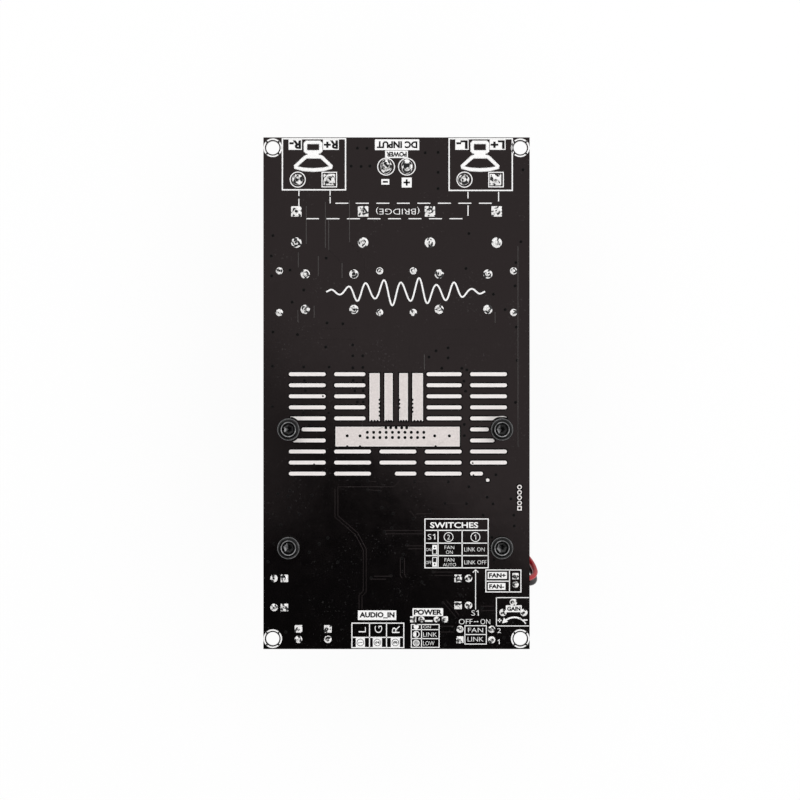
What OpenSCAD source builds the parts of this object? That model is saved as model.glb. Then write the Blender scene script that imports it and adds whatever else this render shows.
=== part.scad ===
// Stereo switching amplifier board with heatsink and fan, lying on its parts, solder side up.
// Millimetres. +X is right and +Y is the speaker edge, both as seen on the solder side.
// Parts under the board are modelled with z measured from the board's lower face downwards.

/* [Board] */
// Width of the board along the speaker edge
board_w = 64; // [63:0.5:72]
// Thickness of the board
board_t = 1.6; // [1:0.1:2.4]
// Depth of the strip of small parts between output filter and heatsink
driver_strip = 21.9; // [20:0.1:30]
// Depth of the strip with inputs and controls beyond the heatsink
input_strip = 20.4; // [20:0.1:26]

/* [Corner holes] */
// Diameter of the corner holes, for M3 screws
mount_hole_d = 3.2; // [2.2:0.1:3.4]
// Distance of the corner holes from the long edges
mount_edge_x = 2.25; // [2:0.05:2.5]
// Distance of the corner holes from the short edges
mount_edge_y = 2.5; // [2:0.05:3.5]

/* [Supply capacitors] */
// Diameter of a supply capacitor
supply_d = 15.7; // [13:0.1:16.5]
// Height of a supply capacitor
supply_h = 30; // [20:0.5:40]
// Gap between neighbouring supply capacitors
supply_gap = 0.35; // [0.2:0.05:2]
// Spacing of a supply capacitor's two leads
supply_lead_pitch = 7.5; // [5:0.5:8]
// Diameter of a supply capacitor's leads
supply_lead_d = 0.8; // [0.6:0.1:1.2]
// Gap between the speaker headers and the supply capacitors
supply_row_gap = 1.5; // [0.5:0.1:4]

/* [Output filter] */
// Width of a film capacitor
film_w = 6; // [4:0.1:7]
// Length of a film capacitor
film_l = 13; // [12:0.1:14]
// Height of a film capacitor
film_h = 12; // [8:0.5:16]
// Spacing of a film capacitor's two leads
film_lead_pitch = 10; // [7.5:0.5:10]
// Diameter of a film capacitor's leads
film_lead_d = 0.7; // [0.5:0.1:0.9]
// Gap between the two inner film capacitors
film_pair_gap = 2.1; // [0.5:0.1:6]
// Width of a twin output inductor
inductor_w = 16.6; // [15.5:0.1:18]
// Length of a twin output inductor
inductor_l = 14.4; // [14:0.1:16]
// Height of a twin output inductor
inductor_h = 18; // [14:0.5:22]
// Thickness of the inductor's end plates
inductor_plate = 2.6; // [2:0.1:3.4]
// Thickness of the inductor's outer legs
inductor_leg = 1.4; // [1:0.1:1.8]
// Number of turns in each winding
inductor_turns = 7; // [4:1:9]
// Gap between the inductor and the film capacitors beside it
inductor_gap = 0.75; // [0.3:0.05:2]
// Spacing of the inductor's leads across the board
inductor_lead_dx = 11.7; // [11:0.1:12.2]
// Spacing of the inductor's leads along the board
inductor_lead_dy = 8.5; // [7:0.1:9]
// Diameter of the inductor's leads
inductor_lead_d = 1.0; // [0.8:0.1:1.2]
// Gap between the supply capacitors and the filter row
filter_row_gap = 0.5; // [0.3:0.1:4]

/* [Heatsink] */
// Width of the heatsink
heatsink_w = 59.2; // [50:0.2:62]
// Length of the heatsink along the board
heatsink_l = 36.4; // [35:0.2:44]
// Height of the heatsink with its fins
heatsink_h = 16.5; // [12:0.5:26]
// Thickness of the heatsink's base plate
heatsink_base = 4; // [3.5:0.1:6]
// Number of fins
fin_n = 10; // [6:1:12]
// Thickness of one fin above its foot
fin_t = 1.3; // [0.9:0.1:1.6]
// How much a fin thins towards its tip, per side
fin_draft = 0.15; // [0:0.05:0.25]
// Width of the sloping foot on each side of a fin
fin_foot = 0.35; // [0.1:0.05:0.6]
// Sideways shift of heatsink and fan from the board's middle line
cooling_shift = -0.3; // [-1:0.1:1]
// Distance of the clamp screws from the heatsink's short ends
clamp_inset_x = 4; // [3.5:0.1:6]
// Distance of the clamp screws from the heatsink's long sides
clamp_inset_y = 4; // [3.5:0.1:6]
// Thread diameter of the clamp screws
clamp_d = 3; // [2.5:0.5:3]
// Head diameter of the clamp screws
clamp_head_d = 5.5; // [5:0.1:6]
// Head height of the clamp screws
clamp_head_h = 3; // [2:0.1:3.2]
// Width across flats of the socket in the clamp screws
clamp_socket = 2.5; // [2:0.1:2.8]
// Outer diameter of the spacers between board and heatsink
spacer_d = 6; // [5:0.1:7]
// Thickness of the thermal pad on the amplifier chip
thermal_pad_t = 0.3; // [0.2:0.05:1]

/* [Amplifier chip] */
// Length of the chip's body
chip_l = 14; // [13.8:0.1:16]
// Width of the chip's body
chip_w = 6.1; // [5:0.1:7]
// Height of the chip's body above the board
chip_h = 1.2; // [1:0.05:1.6]
// Distance of the chip's middle from the heatsink's upper side
chip_inset = 4.9; // [4.6:0.1:9]

/* [Fan] */
// Side of the square fan frame
fan_size = 40; // [38:1:42]
// Thickness of the fan
fan_t = 10; // [10:0.5:15]
// Thinnest wall of the air duct
fan_wall = 1.1; // [0.8:0.1:1.5]
// Thickness of the fan's two flanges
fan_flange = 2.4; // [2:0.1:3]
// Distance of the fan's screw holes from its sides
fan_hole_inset = 4; // [3.6:0.1:4.4]
// Diameter of the rotor's hub
hub_d = 19.6; // [18:0.2:22]
// Number of blades
blade_n = 7; // [5:1:9]
// Pitch angle of the blades
blade_angle = 38; // [30:1:45]
// Gap between the blade tips and the duct
tip_gap = 0.5; // [0.3:0.1:1]
// Diameter of the rotor's shaft
shaft_d = 2; // [1.5:0.1:2.4]
// Thread diameter of the fan screws
fan_screw_d = 3; // [2.5:0.5:3]
// Head diameter of the fan screws
fan_screw_head_d = 6; // [5:0.1:6.4]
// Head height of the fan screws
fan_screw_head_h = 2; // [1.6:0.1:2.6]

/* [Speaker headers] */
// Spacing of a speaker header's two pins
speaker_pitch = 7.62; // [7:0.01:7.7]
// Depth of a speaker header from its open front
speaker_depth = 12.2; // [11:0.1:14]
// Height of a speaker header
speaker_h = 8.6; // [8:0.1:11]
// Wall thickness of a speaker header
speaker_wall = 1.1; // [0.8:0.1:1.4]
// Diameter of a speaker header's pins
speaker_pin_d = 1.2; // [0.9:0.1:1.4]
// Distance of the pins' downward legs from the header's back
speaker_leg_inset = 2.05; // [1.6:0.05:2.4]
// Distance of a speaker header from the board's long edge
speaker_inset = 4.4; // [4.2:0.1:6]

/* [Power socket] */
// Spacing of the two power pins
power_pitch = 5; // [4.6:0.1:5.4]
// Diameter of the two power pins
power_pin_d = 2; // [1.6:0.1:2.2]
// Diameter of the pins' tails through the board
power_tail_d = 1.7; // [1.4:0.1:1.9]
// Length of the power socket's shell
power_shell_l = 10.6; // [10.2:0.1:12]
// Width of the power socket's shell
power_shell_w = 5.8; // [5.4:0.1:6.6]
// Height of the power socket
power_h = 11; // [9:0.5:14]
// Wall thickness of the power socket
power_wall = 0.9; // [0.7:0.1:1]
// Distance of the power pins from the board's speaker edge
power_edge = 7; // [4:0.1:8]

/* [Audio header] */
// Spacing of the audio header's three pins
audio_pitch = 3.81; // [3.5:0.01:4]
// Depth of the audio header from its open front
audio_depth = 9.2; // [8.4:0.1:10]
// Height of the audio header
audio_h = 7.2; // [6.6:0.1:9]
// Wall thickness of the audio header
audio_wall = 0.9; // [0.7:0.1:1.1]
// Diameter of the audio header's pins
audio_pin_d = 1; // [0.8:0.1:1.1]
// Place of the audio header from the board's middle line
audio_x = -4.4; // [-5:0.1:-3.5]

/* [Small capacitors] */
// Diameter of a small capacitor
small_d = 5; // [4:0.1:5.4]
// Height of a small capacitor
small_h = 11; // [7:0.5:14]
// Spacing of a small capacitor's two leads
small_lead_pitch = 2.5; // [2:0.1:2.6]
// Diameter of a small capacitor's leads
small_lead_d = 0.5; // [0.4:0.05:0.6]

/* [Switch block] */
// Spacing of the two sliding switches
dip_pitch = 2.54; // [2.5:0.01:2.6]
// Distance between the switch block's two rows of pins
dip_row = 7.62; // [7.4:0.01:8]
// Width of the switch block across the slides
dip_w = 6.5; // [6:0.1:6.8]
// Height of the switch block
dip_h = 3.6; // [3:0.1:5]
// Travel of a slide
dip_travel = 2; // [1.6:0.1:2.2]
// Length of a slide's knob
dip_knob_l = 1.5; // [1.2:0.1:1.6]
// Width of a slide's knob
dip_knob_w = 1.3; // [1:0.1:1.5]
// Height of a knob above the switch block
dip_knob_out = 0.8; // [0.4:0.1:1.2]

/* [Gain control] */
// Width of the gain control's body
gain_w = 7; // [6.6:0.1:7.4]
// Length of the gain control's body
gain_l = 6.6; // [6.2:0.1:6.8]
// Height of the gain control's body
gain_h = 4.8; // [4.2:0.1:6]
// Diameter of the turning disc
gain_disc_d = 4.2; // [3.4:0.1:4.8]
// Height of the turning disc above the body
gain_disc_out = 0.3; // [0.1:0.1:0.6]
// Width of the screwdriver slot
gain_slot = 0.7; // [0.5:0.05:0.9]

/* [Indicator lamps] */
// Diameter of an indicator lamp
led_d = 3; // [2.6:0.1:3.4]
// Height of an indicator lamp
led_h = 5.2; // [4.6:0.1:7]
// Spacing of a lamp's two leads
led_lead_pitch = 2; // [1.8:0.1:2.2]

/* [Fan lead] */
// Spacing of the fan header's two pins
fan_pin_pitch = 2.02; // [2:0.01:2.1]
// Length of the fan header
fan_header_l = 5.6; // [5.4:0.1:5.9]
// Width of the fan header
fan_header_w = 4.6; // [4.4:0.1:5]
// Height of the fan header
fan_header_h = 6; // [5:0.1:7]
// Wall thickness of the fan header
fan_header_wall = 0.7; // [0.6:0.05:0.8]
// Length of the plug that stands out of the header
plug_out = 1.7; // [1:0.1:2.4]
// Diameter of a fan wire
wire_d = 1.3; // [1:0.1:1.4]

/* [Bare strips] */
// Length of one bare strip
strip_l = 8.84; // [8:0.02:9.6]
// Width of one bare strip
strip_w = 0.9; // [0.8:0.05:1.6]
// Spacing of the strips across the board
strip_dx = 10.89; // [10.6:0.01:11]
// Spacing of the strips along the board
strip_dy = 2.656; // [2.5:0.002:2.7]
// Thickness of the bare metal on the board
strip_t = 0.1; // [0.05:0.01:0.2]
// Radius kept free around the clamp screws
screw_keepout = 3.1; // [3:0.1:3.4]

/* [Clearances] */
// Gap around a lead in its hole, per side
lead_clear = 0.15; // [0.1:0.01:0.25]
// Gap between a lead and its solder, per side
solder_clear = 0.02; // [0.01:0.01:0.05]
// Gap around a sliding or turning piece, per side
move_clear = 0.1; // [0.05:0.01:0.15]
// Gap around a screw in its thread, per side
thread_clear = 0.05; // [0.02:0.01:0.1]
// Gap around a screw in a plain hole, per side
screw_clear = 0.15; // [0.1:0.05:0.4]
// Gap between a plug and its socket, per side
plug_clear = 0.1; // [0.05:0.01:0.15]

/* [Hidden] */
$fn = 48;
eps = 0.01;

// Rows along the board, added up from the speaker edge
filter_l = max(inductor_l, film_l);
upper_l = speaker_depth + supply_row_gap + supply_d + filter_row_gap + filter_l;
board_l = upper_l + driver_strip + heatsink_l + input_strip;
y_top = board_l / 2;
y_low = -board_l / 2;
supply_y = y_top - speaker_depth - supply_row_gap - supply_d / 2;
filter_y = supply_y - supply_d / 2 - filter_row_gap - filter_l / 2;
cooling_y = filter_y - filter_l / 2 - driver_strip - heatsink_l / 2;
supply_dx = supply_d + supply_gap;
film_in_x = (film_pair_gap + film_w) / 2;
inductor_x = film_in_x + film_w / 2 + inductor_gap + inductor_w / 2;
film_out_x = inductor_x + inductor_w / 2 + inductor_gap + film_w / 2;

// Heights under the board
spacer_h = chip_h + thermal_pad_t;
fan_z = spacer_h + heatsink_h;
board_z = max(supply_h, fan_z + fan_t + fan_screw_head_h);
lead_out = 1.15;
joint_h = 0.85;
pad_t = 0.1;

// Places of the parts, seen on the solder side
speaker_w = 2 * speaker_pitch;
speaker_x = board_w / 2 - speaker_inset - speaker_w / 2;
speaker_leg_y = y_top - speaker_depth + speaker_leg_inset;
power_y = y_top - power_edge;
clamp_x = heatsink_w / 2 - clamp_inset_x;
clamp_y = heatsink_l / 2 - clamp_inset_y;
fan_hole = fan_size / 2 - fan_hole_inset;
chip_x = 0.1 + cooling_shift;
chip_y = cooling_y + heatsink_l / 2 - chip_inset;
dip_in = 12.94;
dip_up = 3.5;
dip_x = board_w / 2 - dip_in;
dip_y = y_low + dip_up;
dip_l = 2 * dip_pitch + 0.6;
dip_slot_l = dip_travel + dip_knob_l + 2 * move_clear;
dip_slot_depth = 1.7;
gain_in = 3.9;
gain_up = 10;
gain_x = board_w / 2 - gain_in;
gain_y = y_low + gain_up;
gain_recess = 1.2;
gain_pins = [[0, 1.25], [-2.5, -1.2], [2.5, -1.2]];
led_up = 7.15;
led_first = 5;
led_gap = 5.65;
led_y = y_low + led_up;
led_x = [led_first, led_first + led_gap];
plug_in = 3.4;
plug_up = 16.52;
plug_x = board_w / 2 - plug_in;
plug_y = y_low + plug_up;
small_side = 3.8;
small_upper = 17;
small_left_low = 10;
small_right_low = 10.5;
small_edge = 3.6;
small_edge_in = 8.44;
small_edge_dx = 7.06;
small_right = 15.95;
small_places = [
  [-board_w / 2 + small_side, y_low + small_upper, 0],
  [-board_w / 2 + small_side, y_low + small_left_low, 0],
  [-board_w / 2 + small_edge_in, y_low + small_edge, 90],
  [-board_w / 2 + small_edge_in + small_edge_dx, y_low + small_edge, 90],
  [board_w / 2 - small_right, y_low + small_upper, 180],
  [board_w / 2 - small_right, y_low + small_right_low, 180]
];
test_in = 2.43;
test_down = 2.2;
test_x = board_w / 2 - test_in;
test_y = cooling_y - test_down;
test_pitch = 1.27;
test_hole_d = 0.65;
via_d = 0.62;
edge_via_d = 0.45;

// Sizes of the small chips and passives
so8_l = 4.9;
so8_w = 3.9;
so8_h = 1.5;
coil_l = 6;
coil_h = 3;
cap_size = [3.2, 1.6, 1.3];
res_size = [2.4, 1.5, 0.6];

// Row of signal chips, resistors and regulator coil, spread between two small capacitors
row_y = y_low + 15;
row_from = -board_w / 2 + small_side + small_d / 2;
row_to = board_w / 2 - small_right - small_d / 2;
row_gap = (row_to - row_from - 3 * so8_l - 2 * res_size[1] - coil_l) / 7;
row_step = so8_l + res_size[1] + 2 * row_gap;
so8_places = [for (i = [0:2]) [row_from + row_gap + so8_l / 2 + i * row_step, row_y]];
coil_place = [row_to - row_gap - coil_l / 2, row_y];

// Passives in rows under the output filter and around the inputs: [x, y, turn]
filter_end = filter_y - filter_l / 2;
filter_row_1 = filter_end - 3.2;
filter_row_2 = filter_end - 8.6;
filter_row_3 = filter_end - 14;
filter_row_4 = filter_end - 18.3;
passive_dx = 6;
chip_cap_dx = 4.3;
res_dx = 3;
left_cap_in = 10.5;
left_cap_dx = 4;
cap_places = concat(
  [for (s = [-1, 1]) for (x = [film_out_x, inductor_x - inductor_lead_dx / 2]) [s * x, filter_row_1, 90]],
  [for (s = [-1, 1]) for (k = [-0.5, 0.5]) [s * inductor_x + k * passive_dx, filter_row_2, 0]],
  [for (k = [-1.5:1.5]) [chip_x + k * chip_cap_dx, filter_row_4, 90]],
  [for (k = [0:2]) [-board_w / 2 + left_cap_in + k * left_cap_dx, row_y - 4.8, 90]]
);
res_places = concat(
  [for (k = [-1.5:1.5]) [k * res_dx, filter_row_2, 90]],
  [for (s = [-1, 1]) [s * film_out_x, filter_row_2, 90]],
  [for (s = [-1, 1]) for (k = [-1:1]) [s * inductor_x + k * passive_dx, filter_row_3, 0]],
  [for (k = [-0.5:1.5]) [led_first + k * res_dx, led_y + 3.35, 0]],
  [for (i = [0, 1]) [so8_places[i][0] + row_step / 2, row_y, 90]]
);
end_cap = 0.45;

// Leads through the board: [x, y, lead diameter, pad size, square pad]
speaker_leads = [for (s = [-1, 1]) for (k = [-1, 1])
  [s * speaker_x + k * speaker_pitch / 2, speaker_leg_y, speaker_pin_d, 2.9, k > 0]];
power_leads = [for (k = [-1, 1]) [k * power_pitch / 2, power_y, power_tail_d, 2.8, false]];
supply_leads = [for (i = [0:3]) for (k = [-1, 1])
  [(i - 1.5) * supply_dx, supply_y + k * supply_lead_pitch / 2, supply_lead_d, 2.5, k > 0]];
inductor_leads = [for (s = [-1, 1]) for (i = [-1, 1]) for (j = [-1, 1])
  [s * inductor_x + i * inductor_lead_dx / 2, filter_y + j * inductor_lead_dy / 2,
  inductor_lead_d, 2.2, false]];
film_leads = [for (x = [-film_out_x, -film_in_x, film_in_x, film_out_x]) for (k = [-1, 1])
  [x, filter_y + k * film_lead_pitch / 2, film_lead_d, 1.7, false]];
small_leads = [for (p = small_places) for (k = [-1, 1])
  [p[0] + k * cos(p[2]) * small_lead_pitch / 2, p[1] + k * sin(p[2]) * small_lead_pitch / 2,
  small_lead_d, 1.8, k > 0]];
led_leads = [for (i = [0, 1]) for (k = [-1, 1])
  [led_x[i] + k * led_lead_pitch / 2, led_y, 0.5, 1.45, k == 2 * i - 1]];
dip_leads = [for (i = [-1, 1]) for (j = [-1, 1])
  [dip_x + i * dip_row / 2, dip_y + j * dip_pitch / 2, 0.5, 1.7, i < 0 && j < 0]];
gain_leads = [for (p = gain_pins) [gain_x + p[0], gain_y + p[1], 0.6, 1.75, false]];
fan_leads = [for (k = [-1, 1]) [plug_x, plug_y + k * fan_pin_pitch / 2, 0.55, 1.5, k > 0]];
leads = concat(speaker_leads, power_leads, supply_leads, inductor_leads, film_leads, small_leads,
  led_leads, dip_leads, gain_leads, fan_leads);
vias = concat(
  [for (i = [0:9]) for (y = [0.2, -1.05]) [chip_x - 6.8 + i * 1.507, chip_y + y]],
  [for (x = [-2.35, -1.2, 0.1, 1.45, 2.65]) [chip_x + x, chip_y + 1.3]],
  [for (x = [-11.65, -8.57, 9.38, 12.89]) [chip_x + x, chip_y - 0.65]]
);

// Bare metal under the chip: strips that give way to bars, block and screws
strip_x0 = chip_x + 0.54;
strip_y0 = chip_y + 14.18;
block_box = [chip_x - 14.46, chip_y - 3.18, chip_x + 15.39, chip_y + 1.53];
bar_y = chip_y + 2.92;
bar_l = 11.5;
bar_boxes = [
  [chip_x - 6.28, chip_x - 3.84],
  [chip_x - 2.68, chip_x - 0.72],
  [chip_x + 0.87, chip_x + 2.93],
  [chip_x + 4.02, chip_x + 6.56]
];
// Small holes on the edges of bars, block and strips
edge_vias = concat(
  [for (b = bar_boxes) for (t = [0.2, 0.5, 0.8]) [b[0] + t * (b[1] - b[0]), bar_y]],
  [for (k = [0:4]) [bar_boxes[0][1], bar_y + 5.1 - k * 0.95]],
  [for (k = [0:2]) [bar_boxes[2][0], bar_y + 5.1 - k * 0.95]],
  [for (k = [0:3]) [bar_boxes[3][0], bar_y + 5.1 - k * 0.95]],
  [for (x = [-11.65, -8.57, 9.6]) [chip_x + x, block_box[1]]],
  [
    [chip_x - 17.5, chip_y + 8.9],
    [chip_x - 19.6, chip_y - 7.5],
    [chip_x + 18.5, chip_y - 7.2],
    [chip_x + 18.7, chip_y - 10.1]
  ]
);

// Route of the fan wires from the frame to the plug, measured from the plug's end
plug_end = board_z - fan_header_h - plug_out;
fan_side = cooling_shift + fan_size / 2;
exit_y = plug_y + 14.4;
red_route = [
  [fan_side, exit_y + 1, plug_end - 13.3],
  [fan_side + 2, exit_y + 0.8, plug_end - 13.3],
  [plug_x - 4.8, plug_y + 14.2, plug_end - 13.4],
  [plug_x - 2.9, plug_y + 12.5, plug_end - 13.5],
  [plug_x - 1.2, plug_y + 10.5, plug_end - 13.5],
  [plug_x + 0.3, plug_y + 8.6, plug_end - 13.3],
  [plug_x + 1.8, plug_y + 6.8, plug_end - 12.9],
  [plug_x + 3.2, plug_y + 5.1, plug_end - 12.1],
  [plug_x + 4.5, plug_y + 3.4, plug_end - 10.7],
  [plug_x + 5.35, plug_y + 2, plug_end - 8.9],
  [plug_x + 5.45, plug_y + 0.85, plug_end - 6.9],
  [plug_x + 4.5, plug_y + 0.05, plug_end - 5.1],
  [plug_x + 3, plug_y - 0.15, plug_end - 3.7],
  [plug_x + 1.4, plug_y + 0.35, plug_end - 2.5],
  [plug_x + 0.3, plug_y + 0.95, plug_end - 1.3],
  [plug_x, plug_y + fan_pin_pitch / 2, plug_end]
];
black_route = [
  [fan_side, exit_y - 1, plug_end - 13.3],
  [fan_side + 2, exit_y - 1.2, plug_end - 13.5],
  [plug_x - 4.8, plug_y + 12.2, plug_end - 13.9],
  [plug_x - 2.9, plug_y + 10.5, plug_end - 14.4],
  [plug_x - 1.2, plug_y + 8.6, plug_end - 14.7],
  [plug_x + 0.4, plug_y + 6.7, plug_end - 14.8],
  [plug_x + 1.9, plug_y + 4.9, plug_end - 14.5],
  [plug_x + 3.3, plug_y + 3.2, plug_end - 13.7],
  [plug_x + 4.45, plug_y + 1.65, plug_end - 12.6],
  [plug_x + 5.25, plug_y + 0.25, plug_end - 11],
  [plug_x + 5.4, plug_y - 0.8, plug_end - 9],
  [plug_x + 4.7, plug_y - 1.4, plug_end - 7.1],
  [plug_x + 3.3, plug_y - 1.45, plug_end - 5.4],
  [plug_x + 1.5, plug_y - 1.2, plug_end - 3.9],
  [plug_x + 0.3, plug_y - 1.02, plug_end - 2],
  [plug_x, plug_y - fan_pin_pitch / 2, plug_end]
];

// Puts children under the board, z measured downwards from its lower face
module under() {
  translate([0, 0, board_z])
    mirror([0, 0, 1])
      children();
}

// Puts children on the solder side
module over() {
  translate([0, 0, board_z + board_t])
    children();
}

// A box given by its middle in x and y and its lower z
module block(size) {
  translate([-size[0] / 2, -size[1] / 2, 0])
    cube(size);
}

// A flat rectangle with round corners
module round_rect(w, l, r) {
  square([w - 2 * r, l], center = true);
  square([w, l - 2 * r], center = true);
  for (i = [-1, 1])
    for (j = [-1, 1])
      translate([i * (w / 2 - r), j * (l / 2 - r)])
        circle(r = r);
}

// A flat shape with straight sides and half-round ends, longer along y
module stadium(w, l) {
  square([w, l - w], center = true);
  for (j = [-1, 1])
    translate([0, j * (l - w) / 2])
      circle(d = w);
}

// A flat rectangle with straight corner cuts
module cut_rect(w, l, c) {
  polygon([
    [-w / 2 + c, -l / 2], [w / 2 - c, -l / 2], [w / 2, -l / 2 + c], [w / 2, l / 2 - c],
    [w / 2 - c, l / 2], [-w / 2 + c, l / 2], [-w / 2, l / 2 - c], [-w / 2, -l / 2 + c]
  ]);
}

// A lead from its part down through the board to beyond the solder
module lead(d, start) {
  translate([0, 0, -board_t - lead_out])
    cylinder(d = d, h = board_t + lead_out + start);
}

module circuit_board() {
  color([0.05, 0.05, 0.05])
    translate([0, 0, board_z])
      difference() {
        block([board_w, board_l, board_t]);
        for (i = [-1, 1])
          for (j = [-1, 1])
            translate([i * (board_w / 2 - mount_edge_x), j * (board_l / 2 - mount_edge_y), -1])
              cylinder(d = mount_hole_d, h = board_t + 2);
        for (i = [-1, 1])
          for (j = [-1, 1])
            translate([cooling_shift + i * clamp_x, cooling_y + j * clamp_y, -1])
              cylinder(d = clamp_d + 2 * screw_clear, h = board_t + 2);
        for (p = leads)
          translate([p[0], p[1], -1])
            cylinder(d = p[2] + 2 * lead_clear, h = board_t + 2);
        for (p = vias)
          translate([p[0], p[1], -1])
            cylinder(d = via_d, h = board_t + 2);
        for (p = edge_vias)
          translate([p[0], p[1], -1])
            cylinder(d = edge_via_d, h = board_t + 2);
        for (i = [-2:2])
          translate([test_x, test_y + i * test_pitch, -1])
            cylinder(d = test_hole_d, h = board_t + 2);
      }
}

// One bare strip between two x values
module strip(x1, x2, y) {
  translate([(x1 + x2) / 2, y, 0])
    linear_extrude(strip_t)
      rotate(90)
        stadium(strip_w, x2 - x1);
}

// A strip's left end for a row and a column
function strip_from(r, c) =
  let(x = strip_x0 + (c - 2.5) * strip_dx + (strip_dx - strip_l) / 2)
  r < 5 && c == 3 ? max(x, bar_boxes[3][1] + 0.88)
  : (r == 5 || r == 6) && c == 0 ? cooling_shift - clamp_x + (r == 5 ? 3.1 : 0.93)
  : r == 9 && c == 2 ? x + 3.71 : x;

// A strip's right end for a row and a column
function strip_to(r, c) =
  let(x = strip_x0 + (c - 2.5) * strip_dx + (strip_dx + strip_l) / 2)
  r < 5 && c == 1 ? min(x, bar_boxes[0][0] - 1)
  : (r == 5 || r == 6) && c == 4 ? cooling_shift + clamp_x - (r == 5 ? 3.1 : 1.77)
  : r == 9 && c == 4 ? x - 5.76 : x;

// Whether a row and a column hold a strip at all
function strip_here(r, c) = r < 5 ? c != 2 : r < 7 ? c == 0 || c == 4 : true;

module bare_strips() {
  color([0.88, 0.86, 0.84])
    over()
      difference() {
        union() {
          for (r = [0:9])
            for (c = [0:4])
              if (strip_here(r, c))
                strip(strip_from(r, c), strip_to(r, c), strip_y0 - r * strip_dy);
          for (b = bar_boxes)
            translate([b[0], bar_y, 0])
              cube([b[1] - b[0], bar_l, strip_t]);
          translate([block_box[0], block_box[1], 0])
            cube([block_box[2] - block_box[0], block_box[3] - block_box[1], strip_t]);
          translate([chip_x + 22.12, chip_y - 11.29, 0])
            cylinder(d = 0.8, h = strip_t);
          for (i = [-2:2])
            translate([test_x, test_y + i * test_pitch, 0])
              if (i == -2)
                block([1.1, 1.1, strip_t]);
              else
                cylinder(d = 1.12, h = strip_t);
        }
        for (i = [-1, 1])
          for (j = [-1, 1])
            translate([cooling_shift + i * clamp_x, cooling_y + j * clamp_y, -1])
              cylinder(r = screw_keepout, h = 2);
        for (p = vias)
          translate([p[0], p[1], -1])
            cylinder(d = via_d, h = 2);
        for (p = edge_vias)
          translate([p[0], p[1], -1])
            cylinder(d = edge_via_d, h = 2);
        for (i = [-2:2])
          translate([test_x, test_y + i * test_pitch, -1])
            cylinder(d = test_hole_d, h = 2);
      }
}

// Solder on a pad, drawn up along its lead
module joint(lead_d, pad, is_square) {
  r = pad / 2;
  b = lead_d / 2;
  difference() {
    union() {
      if (is_square)
        block([pad, pad, pad_t]);
      rotate_extrude()
        polygon([
          [0, 0], [r, 0], [r, pad_t], [b + 0.62 * (r - b), 0.26], [b + 0.34 * (r - b), 0.5],
          [b + 0.2 * (r - b), joint_h], [0, joint_h]
        ]);
    }
    translate([0, 0, -1])
      cylinder(r = b + solder_clear, h = joint_h + 2);
  }
}

module solder_joints() {
  color([0.78, 0.78, 0.78])
    over()
      for (p = leads)
        translate([p[0], p[1], 0])
          joint(p[2], p[3], p[4]);
}

// Profile of the extruded heatsink, x along the board and y away from it
module heatsink_profile() {
  fin_h = heatsink_h - heatsink_base;
  root = fin_t / 2 + fin_foot;
  tip = fin_t / 2 - fin_draft;
  fin_dy = (heatsink_l - 2 * root) / (fin_n - 1);
  translate([-heatsink_l / 2, 0])
    square([heatsink_l, heatsink_base]);
  for (i = [0:fin_n - 1])
    translate([-heatsink_l / 2 + root + i * fin_dy, heatsink_base])
      polygon([
        [-root, -eps], [root, -eps], [root, 0], [fin_t / 2, 2 * fin_foot], [tip, fin_h - 0.3],
        [tip - 0.2, fin_h], [0.2 - tip, fin_h], [-tip, fin_h - 0.3], [-fin_t / 2, 2 * fin_foot], [-root, 0]
      ]);
}

module heatsink() {
  color([0.2, 0.2, 0.21])
    under()
      translate([cooling_shift, cooling_y, spacer_h])
        difference() {
          translate([-heatsink_w / 2, 0, 0])
            rotate([90, 0, 90])
              linear_extrude(heatsink_w)
                heatsink_profile();
          for (i = [-1, 1])
            for (j = [-1, 1]) {
              translate([i * clamp_x, j * clamp_y, -1])
                cylinder(d = clamp_d + 2 * thread_clear, h = heatsink_base);
              translate([i * fan_hole, j * fan_hole, heatsink_base + 0.5])
                cylinder(d = fan_screw_d + 2 * thread_clear, h = heatsink_h);
            }
        }
}

module heatsink_spacers() {
  color([0.75, 0.6, 0.3])
    under()
      for (i = [-1, 1])
        for (j = [-1, 1])
          translate([cooling_shift + i * clamp_x, cooling_y + j * clamp_y, 0])
            difference() {
              cylinder(d = spacer_d, h = spacer_h);
              translate([0, 0, -1])
                cylinder(d = clamp_d + 2 * screw_clear, h = spacer_h + 2);
            }
}

// A socket screw standing on z = 0 with its thread below
module socket_screw(turn, reach) {
  r = clamp_head_d / 2;
  difference() {
    rotate_extrude()
      polygon([
        [0, 0], [r, 0], [r, clamp_head_h - 0.36], [r - 0.36, clamp_head_h], [0, clamp_head_h]
      ]);
    translate([0, 0, clamp_head_h - 1.6])
      rotate(turn)
        cylinder(d = clamp_socket / cos(30), h = 2, $fn = 6);
    translate([0, 0, clamp_head_h - 0.3])
      cylinder(d1 = clamp_socket / cos(30) - 0.1, d2 = clamp_socket / cos(30) + 0.5, h = 0.3 + eps);
  }
  translate([0, 0, -reach])
    cylinder(d = clamp_d, h = reach + eps);
}

module heatsink_screws() {
  color([0.08, 0.08, 0.08])
    over()
      for (i = [-1, 1])
        for (j = [-1, 1])
          translate([cooling_shift + i * clamp_x, cooling_y + j * clamp_y, 0])
            socket_screw(20 + 25 * i + 13 * j, board_t + spacer_h + heatsink_base - 1.3);
}

module thermal_pad() {
  color([0.55, 0.6, 0.7])
    under()
      translate([chip_x, chip_y, chip_h])
        block([chip_l + 1, chip_w + 1, thermal_pad_t]);
}

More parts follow.
